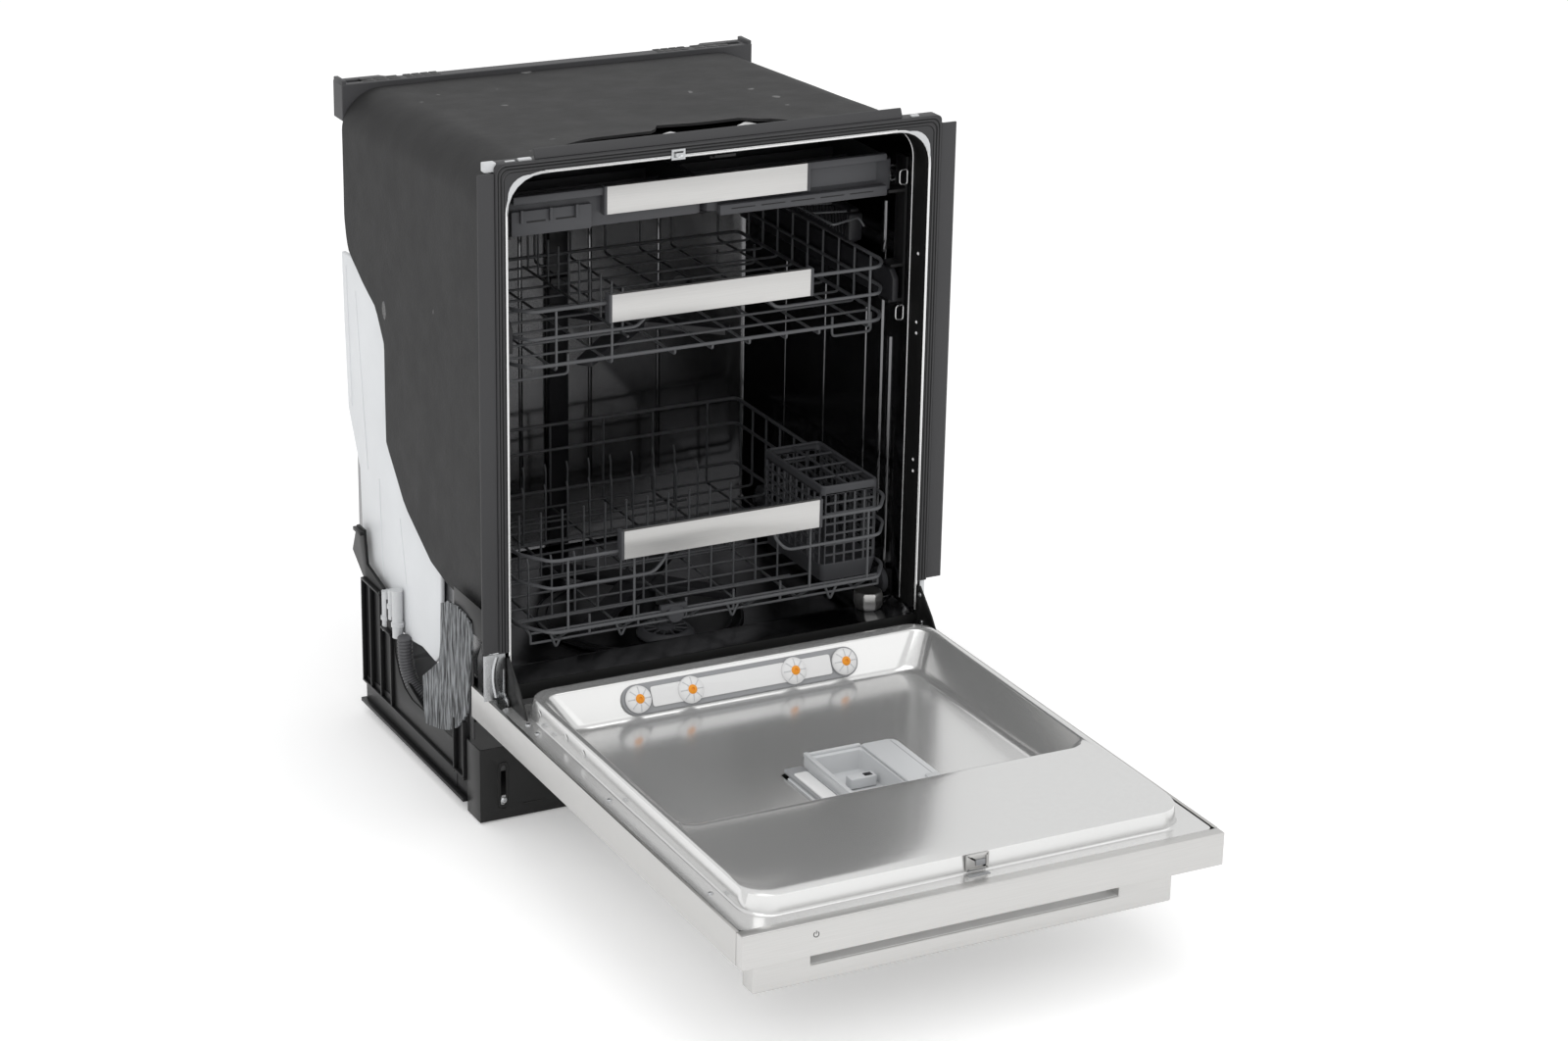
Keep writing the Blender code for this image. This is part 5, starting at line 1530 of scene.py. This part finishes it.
@dataclass
class MiddleRack:
    """The middle rack: rails, wires, tines, spray arm and the cup shelf."""

    half: float = 0.2490
    corner: float = 0.2320
    cut: float = 0.0620
    front: float = 0.0360
    back: float = 0.4550
    base: float = 0.5740
    levels: tuple[float, float, float] = (0.6490, 0.6150, 0.5810)

    def rail(self, z: float) -> list[Vector]:
        """A rail right round the rack at one height."""
        return [Site.at(*p) for p in ((-self.half, self.back, z), (-self.half, self.cut, z),
                                      (-self.corner, self.front, z), (self.corner, self.front, z),
                                      (self.half, self.cut, z), (self.half, self.back, z))]

    def build(self) -> None:
        """Builds the basket, its rails and everything that it carries."""
        top, second, third = self.levels
        heavy = wires([self.rail(top), self.rail(third)], 0.0024, 0.010, loop=True)
        rising = []
        for side, reach in ((-1, 0.095), (1, 0.090)):
            rising.append([Site.at(*p) for p in (
                (0, self.back, second), (side * self.half, self.back, second),
                (side * self.half, self.cut, second), (side * self.corner, self.front, second),
                (side * reach, self.front, second), (side * (reach - 0.012), self.front, second + 0.012),
                (side * (reach - 0.013), self.front + 0.002, second + 0.022))])
        across, along = [], []
        for y in (0.090, 0.132, 0.174, 0.216, 0.258, 0.300, 0.342, 0.384, 0.425):
            across.append([Site.at(-self.half, y, top), Site.at(-self.half, y, self.base + 0.003),
                           Site.at(self.half, y, self.base + 0.003), Site.at(self.half, y, top)])
        for x in (-0.200, -0.128, -0.045, 0.005, 0.055, 0.105, 0.150, 0.2187):
            rise = top if abs(x + 0.164) < 0.04 or x > 0.2 else third
            along.append([Site.at(x, self.front, rise), Site.at(x, self.front, self.base),
                          Site.at(x, self.back, self.base), Site.at(x, self.back, top)])
        for x0, x1 in ((-0.2460, -0.1700), (0.1860, 0.2400)):
            for y in (0.0700, 0.3900):
                along.append([Site.at(x0, y, third), Site.at(x0, y, 0.5560), Site.at(x1, y, 0.5560),
                              Site.at(x1, y, third)])
        light = wires(across + along, 0.0017, 0.005)
        dress(joined([heavy, wires(rising, 0.0022, 0.008), light]), "middle_wire_basket",
              "middle_rack", Finishes.WIRE, ["middle_rack"])
        HandleStrip("middle_rack_handle", "middle_rack").build()
        low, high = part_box("middle_tine_row")
        dress(LowerRack.row(low, high, 10, True), "folding_cup_tines", "middle_tine_row",
              Finishes.WIRE, ["middle_tine_row"])
        for side in ("left", "right"):
            node = f"middle_rail_{side}"
            dress(refined(node, 0.0015, 3), f"{node}_bar", "middle_rails", Finishes.CHARCOAL, [node])
        self.cup_shelf()

    def cup_shelf(self) -> None:
        """The height clip with its serrated face, and the folding cup shelf over it."""
        body = [block(Site.at(0.2350, 0.120, 0.6560), Site.at(0.2480, 0.330, 0.7000), 0.0030, 3)]
        for k in range(24):
            y = 0.128 + 0.0082 * k
            body.append(block(Site.at(0.2325, y, 0.6640), Site.at(0.2355, y + 0.0045, 0.6920), 0.0006))
        body.append(block(Site.at(0.2290, 0.1120, 0.6600), Site.at(0.2490, 0.1215, 0.6960), 0.0040, 3))
        body.append(block(Site.at(-0.2480, 0.120, 0.6560), Site.at(-0.2350, 0.330, 0.7000), 0.003, 3))
        dress(joined(body), "height_clips", "middle_rack", Finishes.CHARCOAL)
        loop = [Site.at(*p) for p in ((0.2380, 0.090, 0.6860), (0.2300, 0.090, 0.6980),
                                      (0.1800, 0.062, 0.7010), (0.1800, 0.240, 0.7010),
                                      (0.2300, 0.260, 0.6980), (0.2380, 0.260, 0.6860))]
        bars = [[Site.at(0.2290, y, 0.6980), Site.at(0.1800, y, 0.7010)] for y in (0.12, 0.16, 0.20)]
        dress(wires([loop] + bars, 0.0015, 0.006), "cup_shelf_wire", "middle_rack", Finishes.WIRE)


@dataclass
class TopRack:
    """The shallow rack: two moulded trays with ribbed fronts, and the handle between them."""

    def build(self) -> None:
        """Builds the trays, their front bars and their ribs."""
        for side in ("left", "right"):
            node = f"top_rack_tray_{side}"
            dress(refined(node, 0.0012, 2), f"{node}_pan", "top_rack", Finishes.DARK_GREY, [node])
        HandleStrip("top_rack_handle", "top_rack").build()
        bars, ribs, slots = [], [], []
        bars.append(block(Site.at(-0.2500, 0.0430, 0.7785), Site.at(-0.1340, 0.0520, 0.7880), 0.0015))
        bars.append(block(Site.at(0.1340, 0.0430, 0.7800), Site.at(0.2420, 0.0520, 0.7890), 0.0015))
        bars.append(block(Site.at(0.1340, 0.0470, 0.7560), Site.at(0.2300, 0.0520, 0.7800), 0.0010))
        bars.append(block(Site.at(0.0150, 0.0400, 0.7370), Site.at(0.2420, 0.0500, 0.7500), 0.0020))
        bars.append(block(Site.at(-0.2520, 0.0450, 0.7400), Site.at(-0.1500, 0.0520, 0.7700), 0.0015))
        for x in (-0.2420, -0.2050, -0.1720):
            ribs.append(block(Site.at(x, 0.0410, 0.7560), Site.at(x + 0.0035, 0.0460, 0.7720), 0.0006))
        for x in (-0.2330, -0.1960):
            slots.append(block(Site.at(x, 0.0446, 0.7555), Site.at(x + 0.0240, 0.0452, 0.7575), 0.0002))
        for k in range(5):
            x = 0.030 + 0.040 * k
            slots.append(block(Site.at(x, 0.0396, 0.7440), Site.at(x + 0.0320, 0.0402, 0.7452), 0.0002))
        for side in (-1, 1):
            for k in range(9):
                y = 0.080 + 0.038 * k
                a, b = sorted((side * 0.0100, side * 0.2480))
                ribs.append(block(Site.at(a, y, 0.7423), Site.at(b, y + 0.0020, 0.7600), 0.0005))
        dress(joined(bars), "top_rack_front_bars", "top_rack", Finishes.DARK_GREY)
        dress(joined(ribs), "top_rack_ribs", "top_rack", Finishes.DARK_GREY)
        dress(joined(slots), "top_rack_slots", "top_rack", Finishes.BLACK)


@dataclass
class WaterSystem:
    """Spray arms, riser, filter, float and the machinery in the base."""

    def build(self) -> None:
        """Builds the wetted pieces and dresses the hidden ones."""
        for node in ("lower_spray_arm", "middle_spray_arm", "upper_spray_arm"):
            dress(refined(node, 0.0020, 3), f"{node}_blades", node, Finishes.CHARCOAL, [node])
        dress(refined("spray_riser", 0.0012, 2), "riser_pipe", "cabinet", Finishes.CHARCOAL,
              ["spray_riser"])
        for side in ("left", "right"):
            node = f"rail_guide_{side}"
            dress(refined(node, 0.0006), f"{node}_plate", "cabinet", Finishes.BLACK, [node])
        self.filter()
        low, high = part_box("float_cap")
        cap = turned([(0, low.z), (0.0160, low.z), (0.0192, low.z + 0.0060), (0.0192, high.z - 0.0030),
                      (0.0170, high.z), (0, high.z)], ((low.x + high.x) / 2, (low.y + high.y) / 2),
                     Axis.Z, 8)
        dress(rounded_edges(cap, 0.0008), "float_hex", "float_cap", Finishes.SATIN, ["float_cap"])
        for node, finish in (("sump_housing", Finishes.BLACK), ("wash_pump", Finishes.PUMP),
                             ("drain_pump", Finishes.BLACK), ("inlet_valve", Finishes.WHITE),
                             ("junction_box", Finishes.ZINC)):
            dress(refined(node, 0.0010), f"{node}_body", "cabinet", finish, [node])

    def filter(self) -> None:
        """The filter plate with its rings, and the twist-out cylinder."""
        low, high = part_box("filter_plate")
        dress(refined("filter_plate", 0.0005), "filter_disc", "cabinet", Finishes.FILTER,
              ["filter_plate"])
        middle = ((low.x + high.x) / 2, (low.y + high.y) / 2)
        rings = []
        for radius in (0.132, 0.120, 0.036):
            rings.append(turned([(radius - 0.0022, high.z - 0.0004), (radius, high.z + 0.0012),
                                 (radius + 0.0016, high.z - 0.0004)], middle, Axis.Z, 64))
        dress(joined(rings), "filter_rings", "cabinet", Finishes.CHARCOAL)
        dress(refined("filter_cylinder", 0.0008), "filter_cup", "filter_cylinder", Finishes.DARK_GREY,
              ["filter_cylinder"])
        low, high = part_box("filter_cylinder")
        centre = (low + high) / 2
        spokes = []
        for k in range(12):
            turn = 2 * math.pi * k / 12
            ray = Vector((math.cos(turn), math.sin(turn), 0))
            start = Vector((centre.x, centre.y, high.z - 0.0010)) + ray * 0.012
            spokes.append(wires([[start, start + ray * 0.016]], 0.0012, 0.001))
        hub = turned([(0, high.z - 0.0040), (0.0125, high.z - 0.0040), (0.0125, high.z - 0.0005),
                      (0.0100, high.z + 0.0010), (0, high.z + 0.0010)], (centre.x, centre.y),
                     Axis.Z, 24)
        dress(joined(spokes + [hub]), "filter_grip", "filter_cylinder", Finishes.DARK_GREY)


# Studio ---------------------------------------------------------------------------------------
@dataclass
class Studio:
    """Floor, lights and camera."""

    azimuth: float = -27.6
    elevation: float = 20.66
    roll: float = 1.13
    lens: float = 84.1
    stand: tuple[float, float, float] = (-1.859, -3.724, 1.937)

    def build(self) -> None:
        """Sets up the studio."""
        bpy.context.scene.view_settings.view_transform = "Standard"
        self.floor()
        self.lights()
        self.camera()

    def floor(self) -> None:
        """A pale floor, wide enough for every view."""
        clear_selection()
        bpy.ops.mesh.primitive_plane_add(size=40.0, location=(0, 0, -0.0005))
        floor = bpy.context.object
        floor.name = "studio_floor"
        recipe = Recipe("studio_floor")
        recipe.feed("Base Color", (0.93, 0.93, 0.93, 1.0))
        recipe.feed("Roughness", 0.9)
        recipe.feed("Specular IOR Level", 0.1)
        recipe.feed("Emission Color", (1.0, 1.0, 1.0, 1.0))
        recipe.feed("Emission Strength", 0.22)
        floor.data.materials.append(recipe.material)

    def lights(self) -> None:
        """A white surround and three large soft lamps."""
        world = bpy.data.worlds.new("studio")
        world.use_nodes = True
        back = world.node_tree.nodes["Background"]
        back.inputs["Color"].default_value = (1.0, 1.0, 1.0, 1.0)
        back.inputs["Strength"].default_value = 0.86
        bpy.context.scene.world = world
        for name, place, aim, size, power in (
                ("key", (-2.6, -2.2, 3.0), (0, 0, 0.4), 2.4, 26.0),
                ("fill", (2.8, -2.6, 2.2), (0, 0, 0.4), 2.6, 12.0),
                ("top", (0.2, -0.4, 3.6), (0, -0.1, 0.3), 2.2, 22.0)):
            lamp = bpy.data.lights.new(name, "AREA")
            lamp.size = size
            lamp.energy = power
            holder = bpy.data.objects.new(name, lamp)
            holder.location = place
            holder.rotation_euler = (Vector(aim) - Vector(place)).to_track_quat("-Z", "Y").to_euler()
            bpy.context.scene.collection.objects.link(holder)

    def camera(self) -> None:
        """The camera, in front and to the left, looking down a little."""
        azimuth, elevation, roll = (math.radians(v) for v in (self.azimuth, self.elevation, self.roll))
        back = Vector((math.sin(azimuth) * math.cos(elevation),
                       -math.cos(azimuth) * math.cos(elevation), math.sin(elevation)))
        right = Vector((0, 0, 1)).cross(back).normalized()
        up = back.cross(right)
        side = right * math.cos(roll) + up * math.sin(roll)
        rise = up * math.cos(roll) - right * math.sin(roll)
        made = bpy.data.cameras.new("camera")
        made.lens = self.lens
        made.sensor_width = 36.0
        made.clip_end = 60.0
        holder = bpy.data.objects.new("camera", made)
        turn = Matrix((side, rise, back)).transposed().to_4x4()
        holder.matrix_world = Matrix.Translation(Site.at(*self.stand)) @ turn
        bpy.context.scene.collection.objects.link(holder)
        bpy.context.scene.camera = holder


def main() -> None:
    """Builds every sub-assembly in turn."""
    logging.basicConfig(level=logging.INFO, format="%(message)s")
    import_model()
    Site.survey()
    Studio().build()
    for assembly in (Tub(), FrontTrim(), SoundBlanket(), RearBracket(), SideFittings(), Base(),
                     Hinges(), DoorLiner(), DoorFront(), NozzlePlate(), Dispenser(), LowerRack(),
                     CutleryBasket(), MiddleRack(), TopRack(), WaterSystem()):
        assembly.build()
        log.info("finished %s", type(assembly).__name__)


if __name__ == "__main__":
    main()
